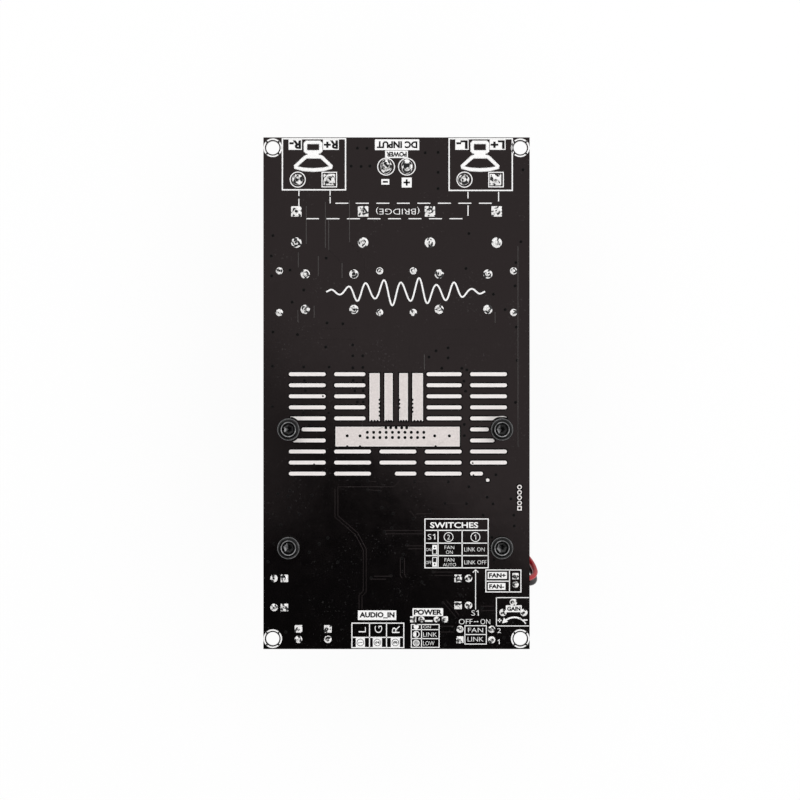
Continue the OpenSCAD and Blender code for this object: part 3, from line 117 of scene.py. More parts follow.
class Bench:
    """The modelling bench: small steps made of Blender's own operators."""

    # Steps per metre at which corners are told apart
    grid = 1e6
    flat_angle = 1.0
    letter_stretch = 1.3
    letter_steps = 3
    round_steps = 3
    corner_turn = 0.5

    @staticmethod
    def edit() -> None:
        """Opens the active mesh."""
        bpy.ops.object.mode_set(mode="EDIT")

    @staticmethod
    def leave() -> None:
        """Leaves edit mode."""
        bpy.ops.object.mode_set(mode="OBJECT")

    @staticmethod
    def clear() -> None:
        """Leaves edit mode and deselects every object."""
        if bpy.context.mode != "OBJECT":
            Bench.leave()
        bpy.ops.object.select_all(action="DESELECT")

    @staticmethod
    def pick(*pieces: Piece) -> None:
        """Selects pieces, and nothing else.

        Args:
            pieces: The pieces, of which the first becomes the active one.
        """
        Bench.clear()
        for piece in pieces:
            piece.select_set(True)
        bpy.context.view_layer.objects.active = pieces[0]

    @staticmethod
    def choose(piece: Piece, test: Callable[[Vector], bool]) -> None:
        """Opens a mesh anew with some of its vertices selected.

        Args:
            piece: The active piece, in edit mode.
            test: Says whether the vertex at a place is selected.
        """
        Bench.leave()
        for item in (*piece.data.edges, *piece.data.polygons):
            item.select = False
        for corner in piece.data.vertices:
            corner.select = test(corner.co)
        Bench.edit()
        bpy.ops.mesh.select_mode(type="VERT")

    @staticmethod
    def blank(name: str) -> Piece:
        """Opens an empty mesh at the origin in edit mode.

        Args:
            name: The piece's name.

        Returns:
            The piece.
        """
        Bench.clear()
        bpy.ops.mesh.primitive_plane_add(size=1.0, location=ORIGIN)
        piece = bpy.context.object
        piece.name = piece.data.name = name
        Bench.edit()
        bpy.ops.mesh.select_mode(type="VERT")
        bpy.ops.mesh.select_all(action="SELECT")
        bpy.ops.mesh.delete(type="VERT")
        return piece

    @staticmethod
    def close(smooth: float = SMOOTH, merge: bool = True) -> None:
        """Cleans the open mesh, turns its faces outwards and leaves edit mode.

        Args:
            smooth: Edges flatter than this angle in degrees are shaded smooth.
            merge: Whether vertices on the same spot become one.
        """
        bpy.ops.mesh.select_all(action="SELECT")
        if merge:
            bpy.ops.mesh.remove_doubles(threshold=MERGE)
        bpy.ops.mesh.normals_make_consistent(inside=False)
        Bench.leave()
        bpy.ops.object.shade_smooth_by_angle(angle=math.radians(smooth))

    @staticmethod
    def settle(piece: Piece) -> None:
        """Moves an object's place, turn and scale into its mesh."""
        Bench.pick(piece)
        bpy.ops.object.transform_apply(location=True, rotation=True, scale=True)

    @staticmethod
    def copy(piece: Piece, matrix: Matrix) -> Piece:
        """Copies a piece with a mesh of its own and moves that mesh.

        Args:
            piece: The model.
            matrix: The move.

        Returns:
            The copy.
        """
        twin = piece.copy()
        twin.data = piece.data.copy()
        twin.data.transform(matrix)
        bpy.context.collection.objects.link(twin)
        return twin

    @staticmethod
    def join(name: str, pieces: list[Piece]) -> Piece:
        """Joins pieces into the first one.

        Args:
            name: The result's name.
            pieces: One or more pieces.

        Returns:
            The first piece.
        """
        Bench.pick(*pieces)
        if len(pieces) > 1:
            bpy.ops.object.join()
        pieces[0].name = pieces[0].data.name = name
        return pieces[0]

    @staticmethod
    def modify(piece: Piece, kind: str, **settings: object) -> None:
        """Adds a modifier and applies it.

        Args:
            piece: The active piece.
            kind: The modifier's type.
            settings: Its options.
        """
        bpy.ops.object.modifier_add(type=kind)
        step = piece.modifiers[-1]
        for label, value in settings.items():
            setattr(step, label, value)
        bpy.ops.object.modifier_apply(modifier=step.name)

    @staticmethod
    def extrude(step: Place) -> None:
        """Extrudes what is selected by a step."""
        bpy.ops.mesh.extrude_region_move(TRANSFORM_OT_translate={"value": metres(step)})

    @staticmethod
    def resize(factor: Place, centre: Place) -> None:
        """Scales what is selected about a centre."""
        bpy.ops.transform.resize(value=factor, center_override=metres(centre))

    @staticmethod
    def lathe(steps: list[Point]) -> None:
        """Draws a selected ring of edges upwards, step by step.

        Args:
            steps: For each step, the factor on the ring's width and the rise.
        """
        for factor, rise in steps:
            Bench.extrude((0.0, 0.0, rise))
            Bench.resize((factor, factor, 1.0), ORIGIN)

    @staticmethod
    def turn_profile(width: float, rings: list[Point]) -> None:
        """Draws a selected ring of edges up through a profile.

        Args:
            width: The ring's width at the start.
            rings: For each step, the new width and the rise.
        """
        widths = [width, *(ring for ring, _ in rings)]
        Bench.lathe([(ring / before, rise) for before, (ring, rise) in zip(widths, rings)])

    @staticmethod
    def circle(radius: float, sides: int, centre: Place = ORIGIN, filled: bool = False,
               turn: float = 0.0) -> None:
        """Adds a circle to the open mesh and leaves it selected.

        Args:
            radius: Its radius.
            sides: How many edges it has.
            centre: Its middle.
            filled: Whether it has a face.
            turn: How far it is turned, in degrees.
        """
        bpy.ops.mesh.primitive_circle_add(
            vertices=sides, radius=radius * MM, fill_type="NGON" if filled else "NOTHING",
            location=metres(centre), rotation=(0.0, 0.0, math.radians(turn)))

    @staticmethod
    def bar(box: Box, height: float) -> None:
        """Adds a flat rectangle to the open mesh and leaves it selected.

        Args:
            box: Its corners.
            height: How high it lies.
        """
        x0, y0, x1, y1 = box
        middle = ((x0 + x1) / 2, (y0 + y1) / 2, height)
        bpy.ops.mesh.primitive_plane_add(size=MM, location=metres(middle))
        Bench.resize((x1 - x0, y1 - y0, 1.0), middle)

    @staticmethod
    def letters(body: str, box: Box, turn: Turn, layer: Point, weight: float) -> Piece:
        """Sets a word as a thin solid that fills a box.

        Args:
            body: The word.
            box: Where its ink lies.
            turn: How the word is turned.
            layer: Lower and upper face of the ink.
            weight: How much the strokes are thickened, in parts of the letter size.

        Returns:
            The word as a mesh at its place.
        """
        low, high = layer
        Bench.clear()
        bpy.ops.object.text_add(location=ORIGIN)
        text = bpy.context.object.data
        text.body = body
        text.size = MM
        text.offset = weight * MM
        text.resolution_u = Bench.letter_steps
        text.extrude = (high - low) * MM / 2
        bpy.ops.object.convert(target="MESH")
        piece = bpy.context.object
        piece.data.transform(Matrix.Rotation(math.radians(turn.value), 4, "Z"))
        xs = [v.co.x for v in piece.data.vertices]
        ys = [v.co.y for v in piece.data.vertices]
        x0, y0, x1, y1 = metres(box)
        wide = (x1 - x0) / (max(xs) - min(xs))
        tall = (y1 - y0) / (max(ys) - min(ys))
        most = Bench.letter_stretch
        wide, tall = min(wide, most * tall), min(tall, most * wide)
        piece.scale = (wide, tall, 1.0)
        piece.location = (
            (x0 + x1 - (min(xs) + max(xs)) * wide) / 2,
            (y0 + y1 - (min(ys) + max(ys)) * tall) / 2, (low + high) * MM / 2)
        Bench.settle(piece)
        return piece

    @staticmethod
    def stroke(points: Path, width: float, layer: Point, closed: bool = False) -> Piece:
        """Draws a low raised line through points.

        Args:
            points: The line's middle.
            width: The line's width.
            layer: Lower and upper face of the line.
            closed: Whether the end joins the start.

        Returns:
            The line as a mesh at its place.
        """
        low, high = layer
        data = bpy.data.curves.new("stroke", "CURVE")
        data.dimensions = "3D"
        data.bevel_depth = width * MM / 2
        data.bevel_resolution = 1
        data.use_fill_caps = True
        spline = data.splines.new("POLY")
        spline.points.add(len(points) - 1)
        for knot, spot in zip(spline.points, points):
            knot.co = (*metres(spot), 0.0, 1.0)
        spline.use_cyclic_u = closed
        piece = bpy.data.objects.new("stroke", data)
        bpy.context.collection.objects.link(piece)
        Bench.pick(piece)
        bpy.ops.object.convert(target="MESH")
        piece = bpy.context.object
        piece.scale = (1.0, 1.0, (high - low) / width)
        piece.location = (0.0, 0.0, (low + high) * MM / 2)
        Bench.settle(piece)
        return piece

    @staticmethod
    def islands(piece: Piece) -> list[Box]:
        """Finds the separate solids of a node.

        Args:
            piece: The node.

        Returns:
            The plan box of each solid.
        """
        keys = [tuple(round(c * Bench.grid) for c in v.co) for v in piece.data.vertices]
        home = {key: key for key in keys}

        def root(key: tuple) -> tuple:
            """Follows a corner to the first corner of its solid.

            Args:
                key: The corner.

            Returns:
                The first corner.
            """
            while home[key] != key:
                home[key] = home[home[key]]
                key = home[key]
            return key

        for face in piece.data.polygons:
            for corner in face.vertices[1:]:
                home[root(keys[corner])] = root(keys[face.vertices[0]])
        boxes: dict[tuple, Box] = {}
        for key in home:
            x, y = (value / (Bench.grid * MM) for value in key[:2])
            x0, y0, x1, y1 = boxes.get(root(key), (x, y, x, y))
            boxes[root(key)] = (min(x, x0), min(y, y0), max(x, x1), max(y, y1))
        return list(boxes.values())

    @staticmethod
    def cast(node: str, name: str) -> Piece:
        """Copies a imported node's mesh and merges its doubled corners.

        Args:
            node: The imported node.
            name: The copy's name.

        Returns:
            The copy, active in object mode, with nothing selected on it.
        """
        piece = bpy.data.objects.new(name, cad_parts[node].data.copy())
        bpy.context.scene.collection.objects.link(piece)
        Bench.pick(piece)
        bpy.ops.mesh.customdata_custom_splitnormals_clear()
        Bench.edit()
        bpy.ops.mesh.select_mode(type="FACE")
        bpy.ops.mesh.select_all(action="SELECT")
        bpy.ops.mesh.remove_doubles(threshold=MERGE)
        bpy.ops.mesh.select_all(action="DESELECT")
        Bench.leave()
        return piece

    @staticmethod
    def soften(piece: Piece, width: float, longer: float = 1.5) -> None:
        """Rounds a body's long outer edges.

        Args:
            piece: The body.
            width: How wide the rounding is.
            longer: Edges below this length stay sharp.
        """
        mesh = piece.data
        Bench.edit()
        bpy.ops.mesh.select_all(action="SELECT")
        bpy.ops.mesh.dissolve_limited(angle_limit=math.radians(Bench.flat_angle))
        bpy.ops.mesh.select_all(action="DESELECT")
        Bench.leave()
        sides: dict[tuple, list[tuple[Vector, Vector]]] = {}
        for face in mesh.polygons:
            for key in face.edge_keys:
                sides.setdefault(key, []).append((face.normal.copy(), face.center.copy()))
        for edge in mesh.edges:
            edge.select = False
            start, end = (mesh.vertices[index].co for index in edge.vertices)
            pair = sides.get(edge.key, [])
            if len(pair) == 2 and (start - end).length > longer * MM:
                (way, middle), (other_way, other_middle) = pair
                outer = (other_middle - middle).dot(way) < 0.0
                edge.select = outer and way.dot(other_way) < Bench.corner_turn
        Bench.edit()
        bpy.ops.mesh.select_mode(type="EDGE")
        bpy.ops.mesh.bevel(offset=width * MM, segments=Bench.round_steps, affect="EDGES")
        Bench.leave()
        bpy.ops.object.shade_smooth_by_angle(angle=math.radians(SMOOTH))
        Bench.modify(piece, "WEIGHTED_NORMAL", keep_sharp=True)

    @staticmethod
    def hand_over(piece: Piece, slot: str, *finishes: "Finish") -> None:
        """Gives a finished piece its materials and its body.

        Args:
            piece: The piece.
            slot: Not used.
            finishes: Its finishes, the main one first.
        """
        piece.data.materials.clear()
        for finish in finishes:
            piece.data.materials.append(finish.build())
        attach(piece, BODY)
        log.info("piece %s: %d faces", piece.name, len(piece.data.polygons))


class NodeKit:
    """A node tree under construction."""

    def __init__(self, tree: Tree) -> None:
        """Takes a tree and empties it."""
        self.tree = tree
        tree.nodes.clear()

    def feed(self, target: Socket, value: object) -> None:
        """Links an input or sets its value.

        Args:
            target: The input.
            value: A socket to link, or a number, a vector or a colour.
        """
        if isinstance(value, bpy.types.NodeSocket):
            self.tree.links.new(value, target)
        elif target.type == "RGBA":
            target.default_value = (*value, 1.0)
        else:
            target.default_value = value

    def add(self, kind: str, feeds: dict | None = None, **settings: object) -> Node:
        """Adds a node.

        Args:
            kind: The node's type, without the words that all shader nodes share.
            feeds: A socket or a value for some inputs, by label or number.
            settings: The node's own options.

        Returns:
            The node.
        """
        node = self.tree.nodes.new(f"ShaderNode{kind}")
        for label, value in settings.items():
            setattr(node, label, value)
        for label, value in (feeds or {}).items():
            self.feed(node.inputs[label], value)
        return node

    def math(self, operation: str, first: object, second: object,
             clamp: bool = False) -> Socket:
        """Adds a sum of two values.

        Args:
            operation: The kind of sum.
            first: A socket or a number.
            second: A socket or a number.
            clamp: Whether the result stays between nought and one.

        Returns:
            The result.
        """
        feeds = {0: first, 1: second}
        return self.add("Math", feeds, operation=operation, use_clamp=clamp).outputs[0]

    def vector(self, operation: str, *values: object) -> Node:
        """Adds a sum of one or two vectors."""
        return self.add("VectorMath", dict(enumerate(values)), operation=operation)

    def cover(self, share: Socket, under: Socket, over: Socket) -> Socket:
        """Mixes two shaders by a share."""
        return self.add("MixShader", {0: share, 1: under, 2: over}).outputs[0]


class ShaderShop:
    """Node groups shared by the finishes, each made on first use."""

    @staticmethod
    def _group(name: str, values: dict[str, object],
               fill: Callable[[NodeKit, Sockets], list[Socket]],
               outputs: tuple[str, ...] = ("Mask",)) -> Tree:
        """Returns a group and makes it if it isn't there yet.

        Args:
            name: The group's name.
            values: Each input besides Vector, with its first value.
            fill: Adds the nodes and returns what goes to the outputs.
            outputs: The outputs' labels.

        Returns:
            The group.
        """
        group = bpy.data.node_groups.get(name)
        if group:
            return group
        group = bpy.data.node_groups.new(name, "ShaderNodeTree")
        kit = NodeKit(group)
        face = group.interface
        face.new_socket("Vector", in_out="INPUT", socket_type="NodeSocketVector")
        for label, value in values.items():
            kind = "NodeSocketFloat" if isinstance(value, float) else "NodeSocketVector"
            face.new_socket(label, in_out="INPUT", socket_type=kind).default_value = value
        for label in outputs:
            face.new_socket(label, in_out="OUTPUT", socket_type="NodeSocketFloat")
        start = group.nodes.new("NodeGroupInput")
        end = group.nodes.new("NodeGroupOutput")
        results = fill(kit, {socket.name: socket for socket in start.outputs})
        for label, result in zip(outputs, results):
            kit.feed(end.inputs[label], result)
        return group

    @staticmethod
    def _speckle(kit: NodeKit, start: Sockets) -> list[Socket]:
        """Spreads noise about its middle by the contrast.

        Args:
            kit: The group's nodes.
            start: The group's inputs.

        Returns:
            The mask.
        """
        noise = kit.add("TexNoise", {key: start[key] for key in ("Vector", "Scale", "Detail")})
        low = kit.math("SUBTRACT", 0.5, start["Contrast"])
        high = kit.math("ADD", 0.5, start["Contrast"])
        spread = {"Value": noise.outputs["Fac"], "From Min": low, "From Max": high}
        return [kit.add("MapRange", spread).outputs["Result"]]

    @classmethod
    def speckle(cls) -> Tree:
        """Even noise as a mask. Inputs: Vector, Scale, Detail, Contrast."""
        values = {"Scale": 1000.0, "Detail": 4.0, "Contrast": 0.3}
        return cls._group("speckle_mask", values, cls._speckle)

    @staticmethod
    def _brushed(kit: NodeKit, start: Sockets) -> list[Socket]:
        """Draws noise out along an axis.

        Args:
            kit: The group's nodes.
            start: The group's inputs.

        Returns:
            The mask.
        """
        drawn = kit.vector("MULTIPLY", start["Vector"], start["Stretch"]).outputs[0]
        noise = kit.add("TexNoise", {"Vector": drawn, "Scale": 1.0, "Detail": 3.0})
        return [noise.outputs["Fac"]]

    @classmethod
    def brushed(cls) -> Tree:
        """Noise drawn out into lines. Inputs: Vector, Stretch."""
        return cls._group("brushed_mask", {"Stretch": (60.0, 4000.0, 4000.0)}, cls._brushed)

    @staticmethod
    def _level(kit: NodeKit, start: Sockets) -> list[Socket]:
        """Measures the height above a level.

        Args:
            kit: The group's nodes.
            start: The group's inputs.

        Returns:
            The mask.
        """
        height = kit.add("SeparateXYZ", {0: start["Vector"]}).outputs["Z"]
        above = kit.math("SUBTRACT", height, start["Level"])
        return [kit.math("DIVIDE", above, start["Blend"], True)]

    @classmethod
    def level(cls) -> Tree:
        """One above a height, nought below it. Inputs: Vector, Level, Blend."""
        return cls._group("level_mask", {"Level": 0.0, "Blend": 0.0001}, cls._level)

    @staticmethod
    def _around(kit: NodeKit, start: Sockets) -> list[Socket]:
        """Measures distance and direction from the axis.

        Args:
            kit: The group's nodes.
            start: The group's inputs.

        Returns:
            Distance and side.
        """
        away = kit.vector("SUBTRACT", start["Vector"], start["Centre"]).outputs[0]
        flat = kit.vector("MULTIPLY", away, (1.0, 1.0, 0.0)).outputs[0]
        unit = kit.vector("NORMALIZE", flat).outputs[0]
        return [kit.vector("LENGTH", flat).outputs["Value"],
                kit.vector("DOT_PRODUCT", unit, start["Facing"]).outputs["Value"]]

    @classmethod
    def around(cls) -> Tree:
        """Distance and side seen from an upright axis.

        Inputs: Vector, Centre, Facing (a direction). Outputs: Radius, Side.
        """
        values = {"Centre": ORIGIN, "Facing": (1.0, 0.0, 0.0)}
        return cls._group("around_axis", values, cls._around, ("Radius", "Side"))


class NodeBoard(NodeKit):
    """A material's nodes under construction."""

    def __init__(self, name: str) -> None:
        """Starts a material with one principled surface.

        Args:
            name: The material's name.
        """
        self.material = bpy.data.materials.new(name)
        self.material.use_nodes = True
        super().__init__(self.material.node_tree)
        self.surface = self.add("BsdfPrincipled")
        self.add("OutputMaterial", {"Surface": self.surface.outputs[0]})
        self.coords = self.add("TexCoord").outputs["Object"]

    def group(self, group: Tree, **values: object) -> Node:
        """Adds a node group on object coordinates.

        Args:
            group: The group.
            values: A socket or a value for some of its inputs.

        Returns:
            The group's node.
        """
        node = self.tree.nodes.new("ShaderNodeGroup")
        node.node_tree = group
        for label, value in {"Vector": self.coords, **values}.items():
            self.feed(node.inputs[label], value)
        return node

    def mask(self, group: Tree, **values: object) -> Socket:
        """Adds a node group and returns its mask."""
        return self.group(group, **values).outputs["Mask"]

    def step(self, mask: Socket, edge: float, slope: float) -> Socket:
        """Sharpens a mask from an edge upwards."""
        return self.math("MULTIPLY", self.math("SUBTRACT", mask, edge), slope, True)

    def blend(self, share: Socket, first: object, second: object) -> Socket:
        """Mixes two colours by a share."""
        feeds = {0: share, 6: first, 7: second}
        return self.add("Mix", feeds, data_type="RGBA").outputs[2]

    def height(self) -> Socket:
        """Returns the height in the model."""
        return self.add("SeparateXYZ", {0: self.coords}).outputs["Z"]

    def span(self, share: Socket, low: float, high: float) -> Socket:
        """Spreads a mask between two values."""
        feeds = {"Value": share, "To Min": low, "To Max": high}
        return self.add("MapRange", feeds).outputs["Result"]

    def bump(self, height: Socket, strength: float, depth: float) -> None:
        """Adds fine relief to the surface.

        Args:
            height: The mask that rises and falls.
            strength: How strongly it counts.
            depth: Its height.
        """
        feeds = {"Strength": strength, "Distance": depth * MM, "Height": height}
        self.feed(self.surface.inputs["Normal"], self.add("Bump", feeds).outputs[0])


@dataclass(frozen=True)
class Finish:
    """A finish with two tones, uneven gloss and fine relief."""

    name: str
    tone: Rgb
    second: Rgb
    gloss: Point = (0.4, 0.5)
    metal: float = 0.0
    cells: float = 900.0
    relief: float = 0.15
    depth: float = 0.01
    grain: Grain = Grain.SPECKLE
    stretch: Place = (60.0, 4000.0, 4000.0)
    specular: float = 0.5
    coat: float = 0.0
    clear: float = 0.0
    tint: Rgb = (1.0, 1.0, 1.0)
    smudge: float = 0.23
    smudge_contrast: float = 0.25

    def pattern(self, board: NodeBoard) -> Socket:
        """Returns the mask that breaks up the finish.

        Args:
            board: The material's nodes.

        Returns:
            The mask.
        """
        if self.grain is Grain.BRUSHED:
            return board.mask(ShaderShop.brushed(), Stretch=self.stretch)
        return board.mask(ShaderShop.speckle(), Scale=self.cells)

    def colour(self, board: NodeBoard, mask: Socket) -> Socket:
        """Returns the finish's colour over the surface."""
        return board.blend(mask, self.tone, self.second)

    def metalness(self, board: NodeBoard) -> object:
        """Returns how metallic the surface is."""
        return self.metal

    def build(self) -> Material:
        """Makes the material, or finds it if it is there already.

        Returns:
            The material.
        """
        known = bpy.data.materials.get(f"finish_{self.name}")
        if known:
            return known
        board = NodeBoard(f"finish_{self.name}")
        mask = self.pattern(board)
        smudge = board.mask(ShaderShop.speckle(), Scale=self.cells * self.smudge,
                            Contrast=self.smudge_contrast)
        for label, value in (
                ("Base Color", self.colour(board, mask)),
                ("Metallic", self.metalness(board)),
                ("Roughness", board.span(smudge, *self.gloss)),
                ("Specular IOR Level", self.specular), ("Coat Weight", self.coat),
                ("Specular Tint", self.tint), ("Transmission Weight", self.clear)):
            board.feed(board.surface.inputs[label], value)
        board.bump(mask, self.relief, self.depth)
        return board.material


@dataclass(frozen=True)
class MaskFinish(Finish):
    """Solder mask with pale specks on the board's faces, partly dust and partly painted glints,
    and bare laminate on its cut edges.
    """

    core: Rgb = (0.055, 0.05, 0.036)
    core_second: float = 1.6
    fibre: Place = (300.0, 300.0, 9000.0)
    skin: float = 0.06
    skin_blend: float = 0.02
    # Tone of the pale specks: dust, and painted glints on the mask
    dust: Rgb = (0.022, 0.021, 0.021)
    specks: Point = (0.70, 9.0)
    speck_scale: float = 1.15
    patches: Point = (0.42, 2.5)
    patch_scale: float = 0.07
    wave_scale: float = 0.22
    wave_share: float = 3.0

    def _dust(self, board: NodeBoard) -> Socket:
        """Returns fine pale specks that lie in loose patches: dust, and painted glints.

        Args:
            board: The material's nodes.

        Returns:
            The mask of the specks.
        """
        noise = ShaderShop.speckle()
        specks = board.mask(noise, Scale=self.cells * self.speck_scale, Contrast=0.3)
        patches = board.mask(noise, Scale=self.cells * self.patch_scale, Contrast=0.2)
        return board.math("MULTIPLY", board.step(specks, *self.specks),
                          board.step(patches, *self.patches))

    def colour(self, board: NodeBoard, mask: Socket) -> Socket:
        """Mixes mask, pale specks (dust and painted glints) and laminate by height.

        Args:
            board: The material's nodes.
            mask: The finish's pattern.

        Returns:
            The colour.
        """
        face = board.blend(mask, self.tone, self.second)
        # Pale specks over the mask: dust, and painted glints
        face = board.blend(self._dust(board), face, self.dust)
        above, below = (
            board.mask(ShaderShop.level(), Level=level * MM, Blend=self.skin_blend * MM)
            for level in (BOARD_LOW + self.skin, BOARD_TOP - self.skin))
        inside = board.math("SUBTRACT", above, below, True)
        fibre = board.mask(ShaderShop.brushed(), Stretch=self.fibre)
        pale = tuple(v * self.core_second for v in self.core)
        return board.blend(inside, face, board.blend(fibre, self.core, pale))

    def pattern(self, board: NodeBoard) -> Socket:
        """Adds slow waviness to the fine skin of the mask.

        Args:
            board: The material's nodes.

        Returns:
            The mask.
        """
        fine, slow = (
            board.mask(ShaderShop.speckle(), Scale=self.cells * scale, Contrast=0.3)
            for scale in (1.0, self.wave_scale))
        both = board.math("ADD", fine, board.math("MULTIPLY", slow, self.wave_share))
        return board.math("MULTIPLY", both, 1.0 / (1.0 + self.wave_share))


@dataclass(frozen=True)
class SolderFinish(Finish):
    """Bright solder with patches of painted dark reflection."""

    edge: float = 0.49
    step: float = 12.0

    def pattern(self, board: NodeBoard) -> Socket:
        """Returns plain blobs, with none of the finer noise."""
        return board.mask(ShaderShop.speckle(), Scale=self.cells, Detail=0.0)

    def colour(self, board: NodeBoard, mask: Socket) -> Socket:
        """Sharpens the mask into patches of painted dark reflection."""
        return board.blend(board.step(mask, self.edge, self.step), self.tone, self.second)


@dataclass(frozen=True)
class LeadedFinish(Finish):
    """A body whose leads above the board's lower face are tinned."""

    lead: Rgb = (0.66, 0.65, 0.63)
    lead_blend: float = 0.02

    def _lead(self, board: NodeBoard) -> Socket:
        """Returns the mask of the leads."""
        return board.mask(ShaderShop.level(), Level=BOARD_LOW * MM,
                          Blend=self.lead_blend * MM)

    def colour(self, board: NodeBoard, mask: Socket) -> Socket:
        """Lays the leads over the body's colour."""
        return board.blend(self._lead(board), super().colour(board, mask), self.lead)

    def metalness(self, board: NodeBoard) -> object:
        """Makes the leads metal, whatever the body is; a clear body stays plain."""
        return self.metal if self.clear else board.math(
            "MAXIMUM", self._lead(board), self.metal)


@dataclass(frozen=True)
class CanFinish(LeadedFinish):
    """A sleeved capacitor: sleeve, dashed side stripe, bare end and tinned leads."""

    centre: Point = (0.0, 0.0)
    radius: float = 8.0
    facing: Place = (0.0, 1.0, 0.0)
    end: float = 0.0
    stripe: Rgb = (0.62, 0.62, 0.6)
    stripe_wall: float = 0.6
    stripe_reach: float = 0.9
    bare: Rgb = (0.78, 0.78, 0.79)
    bare_rim: float = 0.9
    bare_high: float = 0.5
    dash_start: float = 0.45
    dash_pitch: float = 0.62
    dash: float = 0.09
    dash_reach: float = 0.97

    def _around(self, board: NodeBoard) -> Node:
        """Returns distance and side as seen from the can's axis."""
        return board.group(ShaderShop.around(), Centre=metres((*self.centre, 0.0)),
                           Facing=self.facing)

    def _bare_end(self, board: NodeBoard) -> Socket:
        """Returns the mask of the bare metal end.

        Args:
            board: The material's nodes.

        Returns:
            The mask.
        """
        reach = self._around(board).outputs["Radius"]
        inside = board.math("LESS_THAN", reach, (self.radius - self.bare_rim) * MM)
        low = board.mask(ShaderShop.level(), Level=(self.end + self.bare_high) * MM,
                         Blend=0.01 * MM)
        return board.math("SUBTRACT", inside, low, True)

    def _dashes(self, board: NodeBoard, side: Socket) -> Socket:
        """Returns the mask of the dark dashes down the stripe.

        Args:
            board: The material's nodes.
            side: How far the surface faces the stripe.

        Returns:
            The mask.
        """
        start = (self.end - self.dash_start * self.radius) * MM
        above = board.math("SUBTRACT", board.height(), start)
        rung = board.math("MODULO", above, self.radius * self.dash_pitch * MM)
        dash = board.math("LESS_THAN", rung, self.radius * self.dash * MM)
        return board.math("MULTIPLY", dash, board.math("GREATER_THAN", side, self.dash_reach))

    def colour(self, board: NodeBoard, mask: Socket) -> Socket:
        """Lays stripe, bare end and leads over the sleeve.

        Args:
            board: The material's nodes.
            mask: The finish's pattern.

        Returns:
            The colour.
        """
        around = self._around(board).outputs
        band = board.math("GREATER_THAN", around["Side"], self.stripe_reach)
        wall = (self.radius - self.stripe_wall) * MM
        band = board.math("MULTIPLY", band, board.math("GREATER_THAN", around["Radius"], wall))
        stripe = board.blend(self._dashes(board, around["Side"]), self.stripe, self.tone)
        sleeve = board.blend(band, board.blend(mask, self.tone, self.second), stripe)
        sleeve = board.blend(self._bare_end(board), sleeve, self.bare)
        return board.blend(self._lead(board), sleeve, self.lead)

    def metalness(self, board: NodeBoard) -> object:
        """Makes the bare end and the leads metal."""
        return board.math("ADD", self._bare_end(board), self._lead(board), True)


MASK = MaskFinish(
    "solder_mask_black", (0.0018, 0.0015, 0.0016), (0.0028, 0.0024, 0.0025), (0.09, 0.15),
    cells=1600.0, relief=0.35, depth=0.012, tint=(1.0, 0.8, 0.8))
TIN = Finish(
    "bare_tinned_copper", (0.77, 0.71, 0.69), (0.60, 0.55, 0.535), (0.40, 0.58), metal=0.1,
    cells=2600.0, relief=0.2, depth=0.012)
# Lighter tin: a painted highlight on the beads and the narrow strips
TIN_BEAD_HIGHLIGHT = Finish(
    "tin_bead", (0.87, 0.825, 0.81), (0.80, 0.76, 0.745), (0.34, 0.5), metal=0.1, cells=2600.0)
# Pads and solder: the near-black second tone paints dark reflections in patches
PAD_TIN = SolderFinish(
    "tinned_pad", (0.93, 0.92, 0.91), (0.04, 0.04, 0.041), (0.36, 0.5), metal=0.3,
    cells=1300.0, edge=0.62)
SOLDER = SolderFinish(
    "solder", (0.95, 0.94, 0.93), (0.006, 0.006, 0.007), (0.08, 0.16), metal=0.35,
    cells=1300.0, relief=0.1, edge=0.47)
TERMINAL_SOLDER = SolderFinish(
    "terminal_solder", (0.95, 0.94, 0.93), (0.012, 0.012, 0.013), (0.07, 0.15), metal=0.45,
    cells=1000.0, relief=0.1, edge=0.44)
VIA_SKIN = Finish(
    "via_skin", (0.0022, 0.0019, 0.0020), (0.0035, 0.003, 0.003), (0.15, 0.25),
    cells=1600.0, relief=0.2, depth=0.006, specular=0.16)
# Painted highlight: lighter strokes down the upper traces' edges
PAINTED_TRACE_HIGHLIGHT = Finish(
    "lit_flank", (0.062, 0.055, 0.054), (0.048, 0.043, 0.042), (0.3, 0.42),
    cells=1600.0, relief=0.2, depth=0.006, specular=0.3)
WHITE_INK = Finish(
    "print_white", (0.93, 0.925, 0.92), (0.84, 0.835, 0.83), (0.5, 0.65),
    cells=1800.0, relief=0.2, depth=0.006)
DARK_INK = Finish(
    "print_gap", (0.004, 0.0036, 0.004), (0.009, 0.008, 0.009), (0.4, 0.55),
    cells=1800.0, relief=0.2, depth=0.004, specular=0.15)
SHADE = Finish(
    "opening_shade", (0.0020, 0.0017, 0.0018), (0.0035, 0.003, 0.003), (0.6, 0.75),
    cells=1500.0, relief=0.2, depth=0.004, specular=0.08)
BLACK_OXIDE = Finish(
    "black_oxide", (0.0015, 0.0015, 0.0016), (0.004, 0.004, 0.004), (0.12, 0.22),
    cells=1300.0, depth=0.008, specular=0.25)
